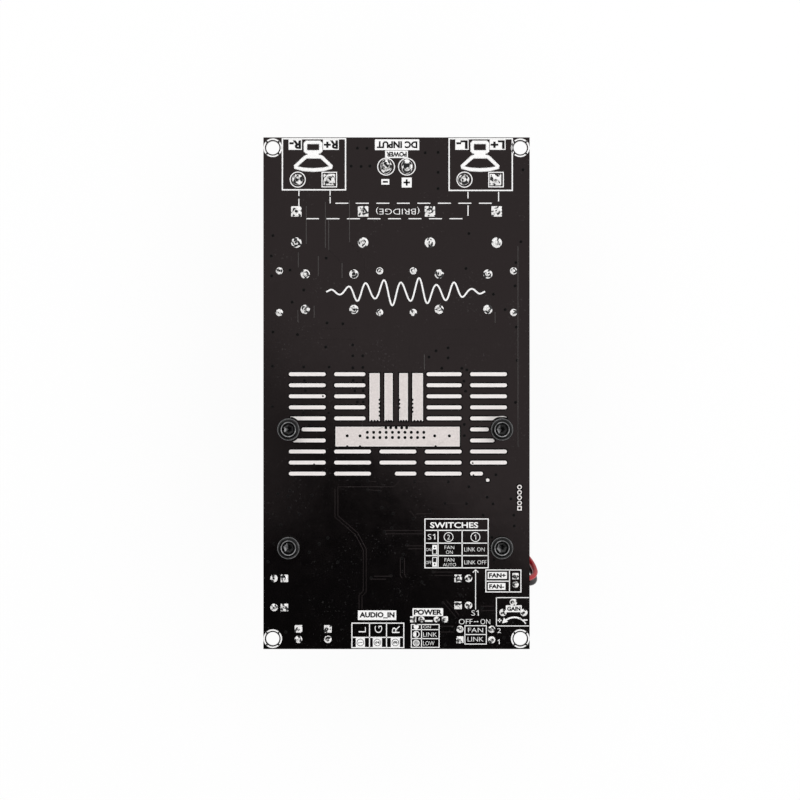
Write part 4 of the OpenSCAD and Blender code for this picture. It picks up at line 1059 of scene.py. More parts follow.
# Lighter metal on the screws: painted highlight rings on the heads' rims and a painted glint in
# each socket
RIM_HIGHLIGHT_AND_GLINT = Finish(
    "worn_edge", (0.26, 0.26, 0.265), (0.07, 0.07, 0.07), (0.2, 0.32), metal=0.9,
    cells=2200.0, depth=0.006)
ANODISED = Finish(
    "black_anodised", (0.012, 0.012, 0.013), (0.03, 0.03, 0.032), (0.35, 0.5), metal=0.2,
    cells=1500.0, relief=0.2, grain=Grain.BRUSHED, stretch=(4000.0, 60.0, 4000.0))
BRASS = Finish(
    "brass", (0.72, 0.52, 0.22), (0.60, 0.42, 0.17), (0.25, 0.38), metal=1.0,
    cells=1100.0, relief=0.1)
PAD_GREY = Finish("pad_grey", (0.30, 0.31, 0.33), (0.24, 0.25, 0.27), (0.7, 0.85), cells=1500.0)
MOULD = Finish(
    "mould_black", (0.014, 0.014, 0.015), (0.028, 0.028, 0.03), (0.5, 0.65),
    cells=3500.0, relief=0.3)
FAN_PLASTIC = Finish(
    "fan_plastic", (0.010, 0.010, 0.011), (0.020, 0.020, 0.021), (0.38, 0.5),
    cells=5000.0, relief=0.3)
MAGNET = Finish(
    "magnet_dark", (0.06, 0.055, 0.05), (0.10, 0.095, 0.09), (0.5, 0.6), metal=0.5,
    cells=2500.0)
COPPER = LeadedFinish(
    "copper_enamel", (0.58, 0.23, 0.10), (0.44, 0.16, 0.07), (0.22, 0.35), metal=0.85,
    relief=0.1, coat=0.3)
STEEL = Finish(
    "steel_zinc", (0.56, 0.56, 0.57), (0.44, 0.44, 0.46), (0.25, 0.4), metal=1.0, cells=1400.0)
NYLON_WHITE = Finish(
    "nylon_white", (0.76, 0.75, 0.70), (0.69, 0.68, 0.63), (0.4, 0.52),
    cells=2600.0, relief=0.2)
NYLON_YELLOW = Finish(
    "nylon_yellow", (0.80, 0.52, 0.03), (0.70, 0.43, 0.02), (0.35, 0.48),
    cells=2600.0, relief=0.2)
HEADER = LeadedFinish(
    "header_black", (0.012, 0.012, 0.012), (0.024, 0.024, 0.025), (0.36, 0.5),
    cells=3000.0, relief=0.25)
GILT = LeadedFinish(
    "gilt_brass", (0.83, 0.60, 0.24), (0.74, 0.52, 0.20), (0.2, 0.32), metal=1.0, cells=1200.0)
FILM = LeadedFinish(
    "film_red", (0.42, 0.035, 0.022), (0.34, 0.024, 0.016), (0.28, 0.4),
    cells=1200.0, depth=0.02, coat=0.3)
FERRITE = LeadedFinish(
    "ferrite", (0.045, 0.045, 0.047), (0.09, 0.088, 0.086), (0.55, 0.7),
    cells=4200.0, relief=0.4, depth=0.02)
SWITCH_RED = LeadedFinish(
    "switch_red", (0.50, 0.025, 0.018), (0.40, 0.016, 0.012), (0.3, 0.42),
    cells=2600.0, relief=0.2)
KNOB_WHITE = Finish(
    "knob_white", (0.78, 0.77, 0.73), (0.70, 0.69, 0.66), (0.35, 0.45), cells=2600.0)
GAIN_BLUE = LeadedFinish(
    "gain_blue", (0.02, 0.10, 0.38), (0.014, 0.075, 0.30), (0.32, 0.44),
    cells=2600.0, relief=0.2)
LAMP_BLUE = LeadedFinish(
    "lamp_blue", (0.35, 0.52, 0.85), (0.28, 0.44, 0.78), (0.08, 0.14),
    cells=500.0, relief=0.05, clear=0.55)
LAMP_RED = LeadedFinish(
    "lamp_red", (0.78, 0.06, 0.04), (0.66, 0.04, 0.03), (0.08, 0.14),
    cells=500.0, relief=0.05, clear=0.45)
CERAMIC = Finish(
    "ceramic_tan", (0.34, 0.23, 0.13), (0.27, 0.18, 0.10), (0.35, 0.45), cells=4000.0)
END_TIN = Finish(
    "end_tin", (0.70, 0.69, 0.67), (0.60, 0.59, 0.57), (0.3, 0.45), metal=1.0, cells=3000.0)
WIRE_RED = Finish(
    "wire_red", (0.42, 0.006, 0.014), (0.34, 0.004, 0.010), (0.3, 0.42),
    cells=1300.0, relief=0.1, depth=0.02)
WIRE_BLACK = Finish(
    "wire_black", (0.009, 0.006, 0.007), (0.014, 0.010, 0.011), (0.32, 0.45),
    cells=1300.0, relief=0.1, depth=0.02, specular=0.3)


@dataclass
class CameraRig:
    """The camera straight above the board, upright along its length."""

    aim: Point = (0.84, -1.63)
    span: float = 192.3
    lens: float = 150.0
    sensor: float = 36.0
    clip: Point = (0.01, 20.0)

    def build(self) -> None:
        """Makes the camera so that its picture is `span` wide at the board's top."""
        distance = self.span * self.lens / self.sensor
        data = bpy.data.cameras.new("camera")
        data.lens = self.lens
        data.sensor_width = self.sensor
        data.clip_start, data.clip_end = self.clip
        data.dof.use_dof = False
        camera = bpy.data.objects.new("camera", data)
        camera.location = metres((*self.aim, BOARD_TOP + distance))
        bpy.context.scene.collection.objects.link(camera)
        bpy.context.scene.camera = camera
        log.info("camera %.1f mm above the board", distance)


@dataclass
class FanLead:
    """The fan's two wires, from the frame's side over the board's edge to the plug."""

    width: float = 1.3
    steps: int = 6
    sides: int = 4
    red: Route = (
        (19.7, -29.58, 9.0), (21.7, -29.78, 9.0), (23.8, -30.78, 8.9), (25.7, -32.48, 8.8),
        (27.4, -34.48, 8.8), (28.9, -36.38, 9.0), (30.4, -38.18, 9.4), (31.8, -39.88, 10.2),
        (33.1, -41.58, 11.6), (33.82, -42.98, 13.4), (33.92, -44.13, 15.4),
        (33.1, -44.93, 17.2), (31.6, -45.13, 18.6), (30.0, -44.63, 19.8),
        (28.9, -44.03, 21.0), (28.6, -43.97, 22.3))
    black: Route = (
        (19.7, -31.58, 9.0), (21.7, -31.78, 8.8), (23.8, -32.78, 8.4), (25.7, -34.48, 7.9),
        (27.4, -36.38, 7.6), (29.0, -38.28, 7.5), (30.5, -40.08, 7.8), (31.9, -41.78, 8.6),
        (33.05, -43.33, 9.7), (33.75, -44.73, 11.3), (33.9, -45.78, 13.3),
        (33.3, -46.38, 15.2), (31.9, -46.43, 16.9), (30.1, -46.18, 18.4),
        (28.9, -46.0, 20.3), (28.6, -45.99, 22.3))

    def _wire(self, name: str, path: Route, finish: Finish) -> Piece:
        """Lays one wire as a round curve.

        Args:
            name: The wire's name.
            path: The points it runs through.
            finish: Its insulation.

        Returns:
            The wire.
        """
        data = bpy.data.curves.new(name, "CURVE")
        data.dimensions = "3D"
        data.resolution_u = self.steps
        data.bevel_depth = self.width * MM / 2
        data.bevel_resolution = self.sides
        data.use_fill_caps = True
        spline = data.splines.new("BEZIER")
        spline.bezier_points.add(len(path) - 1)
        for knot, spot in zip(spline.bezier_points, path):
            knot.co = metres(spot)
            knot.handle_left_type = knot.handle_right_type = "AUTO"
        wire = bpy.data.objects.new(name, data)
        bpy.context.collection.objects.link(wire)
        data.materials.append(finish.build())
        return wire

    def _length(self, path: Route) -> float:
        """Returns a path's length in metres."""
        spots = [Vector(p) for p in path]
        return sum((b - a).length for a, b in zip(spots, spots[1:])) * MM

    def build(self) -> None:
        """Lays both wires, logs them as cords with their lengths and lets them stand for their
        solids.
        """
        wires = (("red", self.red, WIRE_RED), ("black", self.black, WIRE_BLACK))
        for name, path, finish in wires:
            wire = self._wire(f"lead_{name}", path, finish)
            node = f"fan_wire_{name}"
            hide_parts(node)
            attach(wire, BODY)
            log.info("cord %s: %.1f mm", wire.name, self._length(path) / MM)


@dataclass
class StudioStage:
    """Floor, world and soft lights, in metres."""

    floor: float = 3.0
    drop: float = 0.0002
    paper: Rgb = (0.92, 0.92, 0.92)
    glow: float = 0.93
    sky_rise: Point = (0.72, 0.93)
    sky_light: Point = (0.9, 0.0)
    aim: Place = (0.0, 0.0, 0.02)
    side_spots: Path = ((0.95, 0.25), (-0.95, 0.25), (0.35, -0.95), (-0.35, 0.95))
    side_high: float = 0.95
    side_size: Point = (0.7, 0.7)
    side: float = 1.1
    overhead: float = 0.5
    sheen_spot: Point = (0.2335, 0.2978)
    sheen_size: Point = (1.2, 0.8)
    sheen_turn: float = -39.0
    sheen: float = 0.62
    left_spot: Point = (-0.062, -0.02)
    left_size: Point = (0.05, 0.06)
    left: float = 0.3

    def _lamp(self, name: str, spot: Place, aim: Place, size: Point, radiance: float) -> Piece:
        """Hangs one soft lamp.

        Args:
            name: The lamp's name.
            spot: Its place.
            aim: The point it faces.
            size: Its width and height.
            radiance: How bright its face is.

        Returns:
            The lamp.
        """
        data = bpy.data.lights.new(name, "AREA")
        data.shape = "RECTANGLE"
        data.size, data.size_y = size
        data.energy = radiance * math.pi * size[0] * size[1]
        lamp = bpy.data.objects.new(name, data)
        lamp.location = spot
        lamp.rotation_euler = (Vector(aim) - Vector(spot)).to_track_quat("-Z", "Y").to_euler()
        bpy.context.scene.collection.objects.link(lamp)
        return lamp

    def _above(self, name: str, spot: Point, size: Point, radiance: float) -> Piece:
        """Hangs a lamp over the board that faces straight down."""
        return self._lamp(name, (*spot, self.overhead), (*spot, 0.0), size, radiance)

    def _world(self) -> None:
        """Makes a white world for the camera that is dark overhead for the board."""
        world = bpy.data.worlds.new("studio")
        bpy.context.scene.world = world
        world.use_nodes = True
        kit = NodeKit(world.node_tree)
        way = kit.add("TexCoord").outputs["Generated"]
        ramp = {"Value": kit.add("SeparateXYZ", {0: way}).outputs["Z"]}
        for label, pair in (("From", self.sky_rise), ("To", self.sky_light)):
            ramp[f"{label} Min"], ramp[f"{label} Max"] = pair
        light = kit.add("MapRange", ramp).outputs["Result"]
        plain = kit.add("Background", {"Color": light}).outputs[0]
        seen = kit.add("Background", {"Color": (1.0, 1.0, 1.0)}).outputs[0]
        camera = kit.add("LightPath").outputs["Is Camera Ray"]
        kit.add("OutputWorld", {"Surface": kit.cover(camera, plain, seen)})

    def _floor(self) -> None:
        """Lays a white floor that keeps a faint shadow."""
        Bench.clear()
        bpy.ops.mesh.primitive_plane_add(size=self.floor, location=(0.0, 0.0, -self.drop))
        floor = bpy.context.object
        floor.name = "floor"
        Bench.settle(floor)
        material = bpy.data.materials.new("floor_white")
        material.use_nodes = True
        kit = NodeKit(material.node_tree)
        ray = kit.add("LightPath").outputs
        seen = kit.math("MAXIMUM", ray["Is Camera Ray"], ray["Is Glossy Ray"])
        seen = kit.math("MAXIMUM", seen, ray["Is Transmission Ray"])
        paper = kit.add("BsdfDiffuse", {"Color": self.paper}).outputs[0]
        glow = kit.add("Emission", {"Strength": 1.0}).outputs[0]
        mix = kit.cover(kit.math("MULTIPLY", seen, self.glow), paper, glow)
        kit.add("OutputMaterial", {"Surface": mix})
        floor.data.materials.append(material)

    def build(self) -> None:
        """Sets up the picture's look, the lamps, the world and the floor."""
        bpy.context.scene.view_settings.view_transform = "Standard"
        for index, spot in enumerate(self.side_spots):
            self._lamp(f"side_lamp_{index + 1}", (*spot, self.side_high), self.aim,
                       self.side_size, self.side)
        box = self._above("sheen_lamp", self.sheen_spot, self.sheen_size, self.sheen)
        box.rotation_euler.z = math.radians(self.sheen_turn)
        self._above("left_lamp", self.left_spot, self.left_size, self.left)
        self._world()
        self._floor()
        log.info("studio ready")


@dataclass
class PrintSheet:
    """One layer of flat shapes on the board, gathered first and built at the end."""

    name: str
    layer: Point
    weight: float = 0.02
    bars: list[Box] = field(default_factory=list)
    slots: list[Box] = field(default_factory=list)
    rings: list[tuple[Point, float, float, int]] = field(default_factory=list)
    discs: list[tuple[Point, float, int]] = field(default_factory=list)
    triangles: list[tuple[Point, float, float]] = field(default_factory=list)
    words: list[tuple[str, Box, Turn]] = field(default_factory=list)
    strokes: list[tuple[Path, float, bool]] = field(default_factory=list)
    slot_round: float = 0.499
    slot_steps: int = 6

    def outline(self, box: Box, line: float) -> None:
        """Adds a rectangle drawn with a line.

        Args:
            box: The middle of the line.
            line: The line's width.
        """
        x0, y0, x1, y1 = box
        half = line / 2
        for y in (y0, y1):
            self.across(x0 - half, x1 + half, y, line)
        for x in (x0, x1):
            self.upward(x, y0 + half, y1 - half, line)

    def across(self, x0: float, x1: float, y: float, line: float) -> None:
        """Adds a line along the board's width."""
        self.bars.append((x0, y - line / 2, x1, y + line / 2))

    def upward(self, x: float, y0: float, y1: float, line: float) -> None:
        """Adds a line along the board's length."""
        self.bars.append((x - line / 2, y0, x + line / 2, y1))

    def one(self, x: float, y: float, height: float, width: float) -> None:
        """Adds an upright numeral one with a flag.

        Args:
            x: Where its stem stands.
            y: The middle of its height.
            height: Its height.
            width: The width of its line.
        """
        half = height / 2
        path = ((x - 0.3 * height, y + 0.45 * half), (x, y + half), (x, y - half))
        self.strokes.append((path, width, False))

    def finish(self) -> Piece:
        """Builds every shape of the sheet and joins them.

        Returns:
            The sheet.
        """
        low, high = self.layer
        flat = Bench.blank(self.name)
        for box in self.bars:
            Bench.bar(box, low)
        for centre, outer, inner, sides in self.rings:
            Bench.circle(outer, sides, (*centre, low), True)
            bpy.ops.mesh.inset(thickness=(outer - inner) * MM)
            bpy.ops.mesh.delete(type="FACE")
        for centre, radius, sides in self.discs:
            Bench.circle(radius, sides, (*centre, low), True)
        for centre, radius, turn in self.triangles:
            Bench.circle(radius, 3, (*centre, low), True, turn)
        for x0, y0, x1, y1 in self.slots:
            Bench.bar((x0, y0, x1, y1), low)
            corner = min(x1 - x0, y1 - y0) * self.slot_round
            bpy.ops.mesh.bevel(offset=corner * MM, segments=self.slot_steps, affect="VERTICES")
        bpy.ops.mesh.select_all(action="SELECT")
        Bench.extrude((0.0, 0.0, high - low))
        Bench.close(merge=False)
        pieces = [flat]
        for body, box, turn in self.words:
            pieces.append(Bench.letters(body, box, turn, self.layer, self.weight))
        for points, width, closed in self.strokes:
            pieces.append(Bench.stroke(points, width, self.layer, closed))
        return Bench.join(self.name, pieces)


INK = (BOARD_TOP - 0.01, BOARD_TOP + 0.03)
KNOCKOUT = (BOARD_TOP + 0.01, BOARD_TOP + 0.045)


@dataclass
class Silkscreen:
    """The white print: connector frames, labels, small tables and a wave motif."""

    line: float = 0.31
    fine: float = 0.235
    thin: float = 0.2
    sign_arm: float = 0.32
    sign_line: float = 0.42
    corner_ring: Point = (2.24, 1.9)
    tick: Point = (1.82, 2.2)
    tick_line: float = 0.5
    wave_start: Point = (-16.9, 24.4)
    wave_size: Point = (38.2, 3.5)
    wave_count: int = 9
    wave_line: float = 0.42
    wave_steps: int = 240
    white: PrintSheet = field(
        default_factory=lambda: PrintSheet("print_white", INK, -0.012))
    heading: PrintSheet = field(
        default_factory=lambda: PrintSheet("print_heading", INK, 0.022))
    dark: PrintSheet = field(
        default_factory=lambda: PrintSheet("print_knockout", KNOCKOUT, 0.045))

    def label(self, body: str, box: Box, turn: Turn = Turn.UPRIGHT, rim: float = 0.3) -> None:
        """Adds a white box with a word left open in it.

        Args:
            body: The word.
            box: The white box.
            turn: How the word is turned.
            rim: How much white stays round the word.
        """
        self.white.bars.append(box)
        x0, y0, x1, y1 = box
        inner = (x0 + rim, y0 + rim, x1 - rim, y1 - rim)
        self.dark.words.append((body, inner, turn))

    def sign(self, box: Box, plus: bool) -> None:
        """Adds a white box with a sign left open in it.

        Args:
            box: The white box.
            plus: Whether the sign is a plus and not a minus.
        """
        x0, y0, x1, y1 = box
        x, y, arm = (x0 + x1) / 2, (y0 + y1) / 2, (x1 - x0) * self.sign_arm
        self.white.bars.append(box)
        self.dark.across(x - arm, x + arm, y, self.sign_line)
        if plus:
            self.dark.upward(x, y - arm, y + arm, self.sign_line)

    def word(self, body: str, box: Box, turn: Turn = Turn.UPRIGHT) -> None:
        """Adds a white word."""
        self.white.words.append((body, box, turn))

    def corners(self) -> None:
        """Rings round the corner holes with four open ticks each."""
        for spot in ((x, y) for x in (-29.75, 29.75) for y in (-59.0, 59.0)):
            self.white.rings.append((spot, *self.corner_ring, 48))
            for turn in (45, 135, 225, 315):
                way = direction(turn)
                tick = tuple(tuple(way * reach + Vector(spot)) for reach in self.tick)
                self.dark.strokes.append((tick, self.tick_line, False))

    def speaker(self, shift: float, side: str, low: float) -> None:
        """One speaker frame with its sign, pad outlines and labels.

        Args:
            shift: How far the frame stands from the first one.
            side: The channel's letter.
            low: The frame's lower line.
        """
        def move(x0: float, y0: float, x1: float, y1: float) -> Box:
            """Shifts a box of the first frame to this one."""
            return (x0 + shift, y0, x1 + shift, y1)

        self.white.outline(move(-27.43, low, -12.25, 61.18), self.line)
        ring = [(-21.6, 58.0), (-18.5, 58.0), (-18.2, 58.3), (-18.2, 60.0), (-18.5, 60.3),
                (-21.6, 60.3), (-21.9, 60.0), (-21.9, 58.3)]
        cone = [(-21.6, 56.85), (-18.3, 56.85), (-17.9, 56.65), (-15.75, 54.6), (-15.8, 54.25),
                (-17.6, 53.8), (-20.0, 53.65), (-22.4, 53.8), (-24.2, 54.25), (-24.25, 54.6),
                (-22.0, 56.65)]
        for path in (ring, cone):
            self.white.strokes.append(([(x + shift, y) for x, y in path], 0.96, True))
        self.white.bars.append(move(-21.4, 56.6, -18.7, 58.1))
        self.label(f"{side}-", move(-25.94, 58.51, -22.74, 61.0), Turn.OVER, 0.22)
        self.label(f"{side}+", move(-17.67, 58.51, -13.87, 61.0), Turn.OVER, 0.22)
        self.white.rings.append(((-23.74 + shift, 51.35), 1.93, 1.7, 40))
        self.white.outline(move(-17.9, 49.6, -14.4, 53.1), 0.23)

    def power(self) -> None:
        """The power input's pads, labels and signs."""
        self.label("DC INPUT", (-5.19, 58.44, 5.46, 61.03), Turn.OVER, 0.45)
        self.label("POWER", (-2.74, 56.54, 2.74, 58.34), Turn.OVER)
        for x in (-2.5, 2.5):
            self.white.rings.append(((x, 54.45), 2.14, 1.9, 44))
        self.sign((-3.65, 50.14, -1.73, 51.47), False)
        self.sign((1.25, 49.45, 3.65, 51.85), True)

    def bridge(self) -> None:
        """The dashed lines that show how both channels are joined."""
        for start, y in ((-14.69, 45.67), (-21.75, 41.95)):
            for step in range(8):
                x = start + 4.928 * step
                self.white.across(x, x + 3.1, y, self.fine)
        for x, y0, y1 in ((-23.46, 47.4, 48.68), (-23.46, 45.0, 46.75), (-15.96, 47.5, 48.68),
                          (-15.96, 45.67, 47.16), (17.19, 46.85, 48.46), (17.19, 42.67, 45.14),
                          (24.54, 46.11, 48.46)):
            self.white.upward(x, y0, y1, self.fine)
        self.word("(BRIDGE)", (-5.05, 42.96, 5.65, 44.81), Turn.OVER)

    def wave(self) -> None:
        """A plain wave motif across the middle."""
        (x, y), (wide, high) = self.wave_start, self.wave_size
        points = []
        for step in range(self.wave_steps + 1):
            share = step / self.wave_steps
            beat = 0.55 + 0.45 * math.cos(5 * math.pi * share) ** 2
            swell = math.sin(math.pi * share) ** 0.8 * beat
            rise = high * swell * math.sin(2 * math.pi * self.wave_count * share)
            points.append((x + wide * share, y + rise))
        self.white.strokes.append((points, self.wave_line, False))

    def audio(self) -> None:
        """The audio input's label and table."""
        self.label("AUDIO_IN", (-9.28, -54.52, -0.07, -52.21), rim=0.4)
        self.white.outline((-10.72, -61.15, 1.75, -55.26), self.fine)
        self.white.across(-10.72, 1.75, -58.68, self.fine)
        for x in (-6.49, -2.4):
            self.white.upward(x, -61.15, -55.26, self.fine)
        self.word("L", (-9.09, -57.55, -7.4, -56.1), Turn.LEFT)
        self.word("G", (-5.24, -57.62, -3.46, -55.91), Turn.LEFT)
        self.word("R", (-1.06, -57.62, 0.72, -55.91), Turn.LEFT)
        for number, x in ((1, -8.69), (2, -4.6), (3, -0.28)):
            self.white.bars.append((x - 1.09, -61.0, x + 1.09, -58.82))
            self.dark.rings.append(((x, -59.92), 0.88, 0.74, 28))
            if number > 1:
                box = (x - 0.5, -60.25, x + 0.5, -59.6)
                self.dark.words.append((str(number), box, Turn.LEFT))
            else:
                path = ((x - 0.3, -60.2), (x - 0.5, -59.92), (x + 0.5, -59.92))
                self.dark.strokes.append((path, 0.18, False))

    def lamps(self) -> None:
        """The indicator lamps' label, bar and table of signs."""
        self.label("POWER", (3.85, -53.58, 11.2, -51.68))
        self.white.bars.append((6.85, -54.95, 8.65, -54.54))
        self.white.outline((3.56, -61.08, 10.24, -55.6), self.thin)
        self.white.upward(6.01, -61.08, -55.6, self.thin)
        for y in (-56.83, -58.99):
            self.white.across(3.56, 10.24, y, self.thin)
        self.white.discs.append(((4.74, -56.1), 0.62, 24))
        for y in (-57.93, -60.05):
            self.white.rings.append(((4.74, y), 0.8, 0.62, 28))
        self.white.bars.append((4.2, -58.45, 4.75, -57.4))
        for y in (-60.35, -60.05, -59.75):
            self.white.across(4.2, 5.3, y, 0.14)
        self.word("ON", (6.4, -56.5, 8.3, -55.85))
        self.word("LINK", (6.4, -58.5, 9.7, -57.5))
        self.word("LOW", (6.4, -60.6, 9.1, -59.6))

    def settings(self) -> None:
        """The table that explains the two switches, and the arrow up to it."""
        self.white.outline((6.83, -41.97, 22.04, -30.22), self.fine)
        for y in (-32.96, -36.03, -39.04):
            self.white.across(6.83, 22.04, y, self.fine)
        for x in (9.98, 15.77):
            self.white.upward(x, -41.97, -32.96, self.fine)
        self.heading.words.append(("SWITCHES", (7.3, -32.4, 20.4, -31.0), Turn.UPRIGHT))
        self.word("S", (7.43, -35.14, 8.45, -33.89))
        self.white.one(9.2, -34.5, 1.25, 0.3)
        for x in (12.52, 18.97):
            self.white.rings.append(((x, -34.57), 1.16, 1.0, 32))
        self.word("2", (12.17, -35.15, 12.87, -34.0))
        self.white.one(19.05, -34.57, 1.15, 0.24)
        self.word("ON", (7.09, -37.93, 8.34, -37.21))
        self.word("OFF", (7.0, -41.06, 8.4, -40.34))
        for y, lift in ((-37.6, 0.55), (-40.55, -0.55)):
            self.white.outline((8.68, y - 1.08, 9.64, y + 1.08), 0.16)
            self.white.bars.append((8.76, y + lift - 0.48, 9.56, y + lift + 0.48))
            self.dark.discs.append(((9.16, y + lift), 0.2, 12))
        for body, box in (("FAN", (11.56, -37.45, 13.87, -36.66)),
                          ("ON", (11.9, -38.61, 13.5, -37.81)),
                          ("FAN", (11.56, -40.46, 13.87, -39.66)),
                          ("AUTO", (11.2, -41.61, 14.3, -40.82)),
                          ("LINK ON", (16.3, -38.03, 21.2, -37.07)),
                          ("LINK OFF", (16.3, -41.13, 21.6, -40.17))):
            self.word(body, box)
        self.white.upward(19.01, -51.97, -42.5, self.thin)
        arrow = ((18.35, -43.1), (19.01, -42.42), (19.67, -43.1))
        self.white.strokes.append((arrow, 0.24, False))
        self.word("S", (17.95, -53.44, 18.95, -52.19))
        self.white.one(19.65, -52.81, 1.25, 0.3)
        self.word("OFF", (15.0, -55.53, 18.25, -54.28))
        self.word("ON", (20.19, -55.53, 22.52, -54.28))
        for x in (18.65, 19.25):
            self.white.across(x, x + 0.4, -54.9, 0.22)
        self.white.outline((16.44, -60.29, 21.59, -55.89), self.thin)
        self.white.across(16.44, 21.59, -58.0, self.thin)
        self.word("FAN", (17.2, -57.45, 20.8, -56.4))
        self.word("LINK", (17.1, -59.65, 20.9, -58.6))
        self.word("2", (24.23, -57.62, 25.1, -56.51))
        self.white.one(24.7, -59.76, 1.1, 0.26)

    def fan(self) -> None:
        """The fan connector's table."""
        self.white.outline((21.47, -47.76, 29.9, -42.48), self.fine)
        self.white.upward(27.16, -47.76, -42.48, self.fine)
        self.white.across(21.47, 27.16, -45.17, self.fine)
        self.label("FAN+", (21.92, -44.62, 26.56, -42.96))
        self.label("FAN-", (21.97, -47.26, 26.18, -45.62))

    def gain(self) -> None:
        """The gain control's frame, label and turning arrow."""
        self.white.upward(24.01, -56.0, -49.0, self.thin)
        for y in (-55.94, -49.13):
            self.white.across(24.0, 31.9, y, self.thin)
        self.label("GAIN", (26.3, -52.62, 30.1, -50.99))
        sweep = []
        for step in range(15):
            way = direction(31 + 100 * step / 14) * 3.24
            sweep.append((28.3 + way.x, -57.11 + way.y))
        self.white.strokes.append((sweep[:6], 0.3, False))
        self.white.strokes.append((sweep[4:], 0.44, False))
        self.white.triangles.append(((26.0, -54.73), 0.82, 14.0))
        self.white.across(24.3, 25.25, -54.58, 0.28)
        self.white.upward(24.78, -55.05, -54.11, 0.28)
        self.white.across(30.5, 31.45, -54.5, 0.3)

    def build(self) -> None:
        """Gathers all of the print and builds the two inks."""
        self.corners()
        self.speaker(0.0, "R", 48.89)
        self.speaker(40.08, "L", 48.75)
        for gather in (self.power, self.bridge, self.wave, self.audio, self.lamps,
                       self.settings, self.fan, self.gain):
            gather()
        for sheet, ink in ((self.white, WHITE_INK), (self.heading, WHITE_INK),
                           (self.dark, DARK_INK)):
            Bench.hand_over(sheet.finish(), MASK_SLOT, ink)


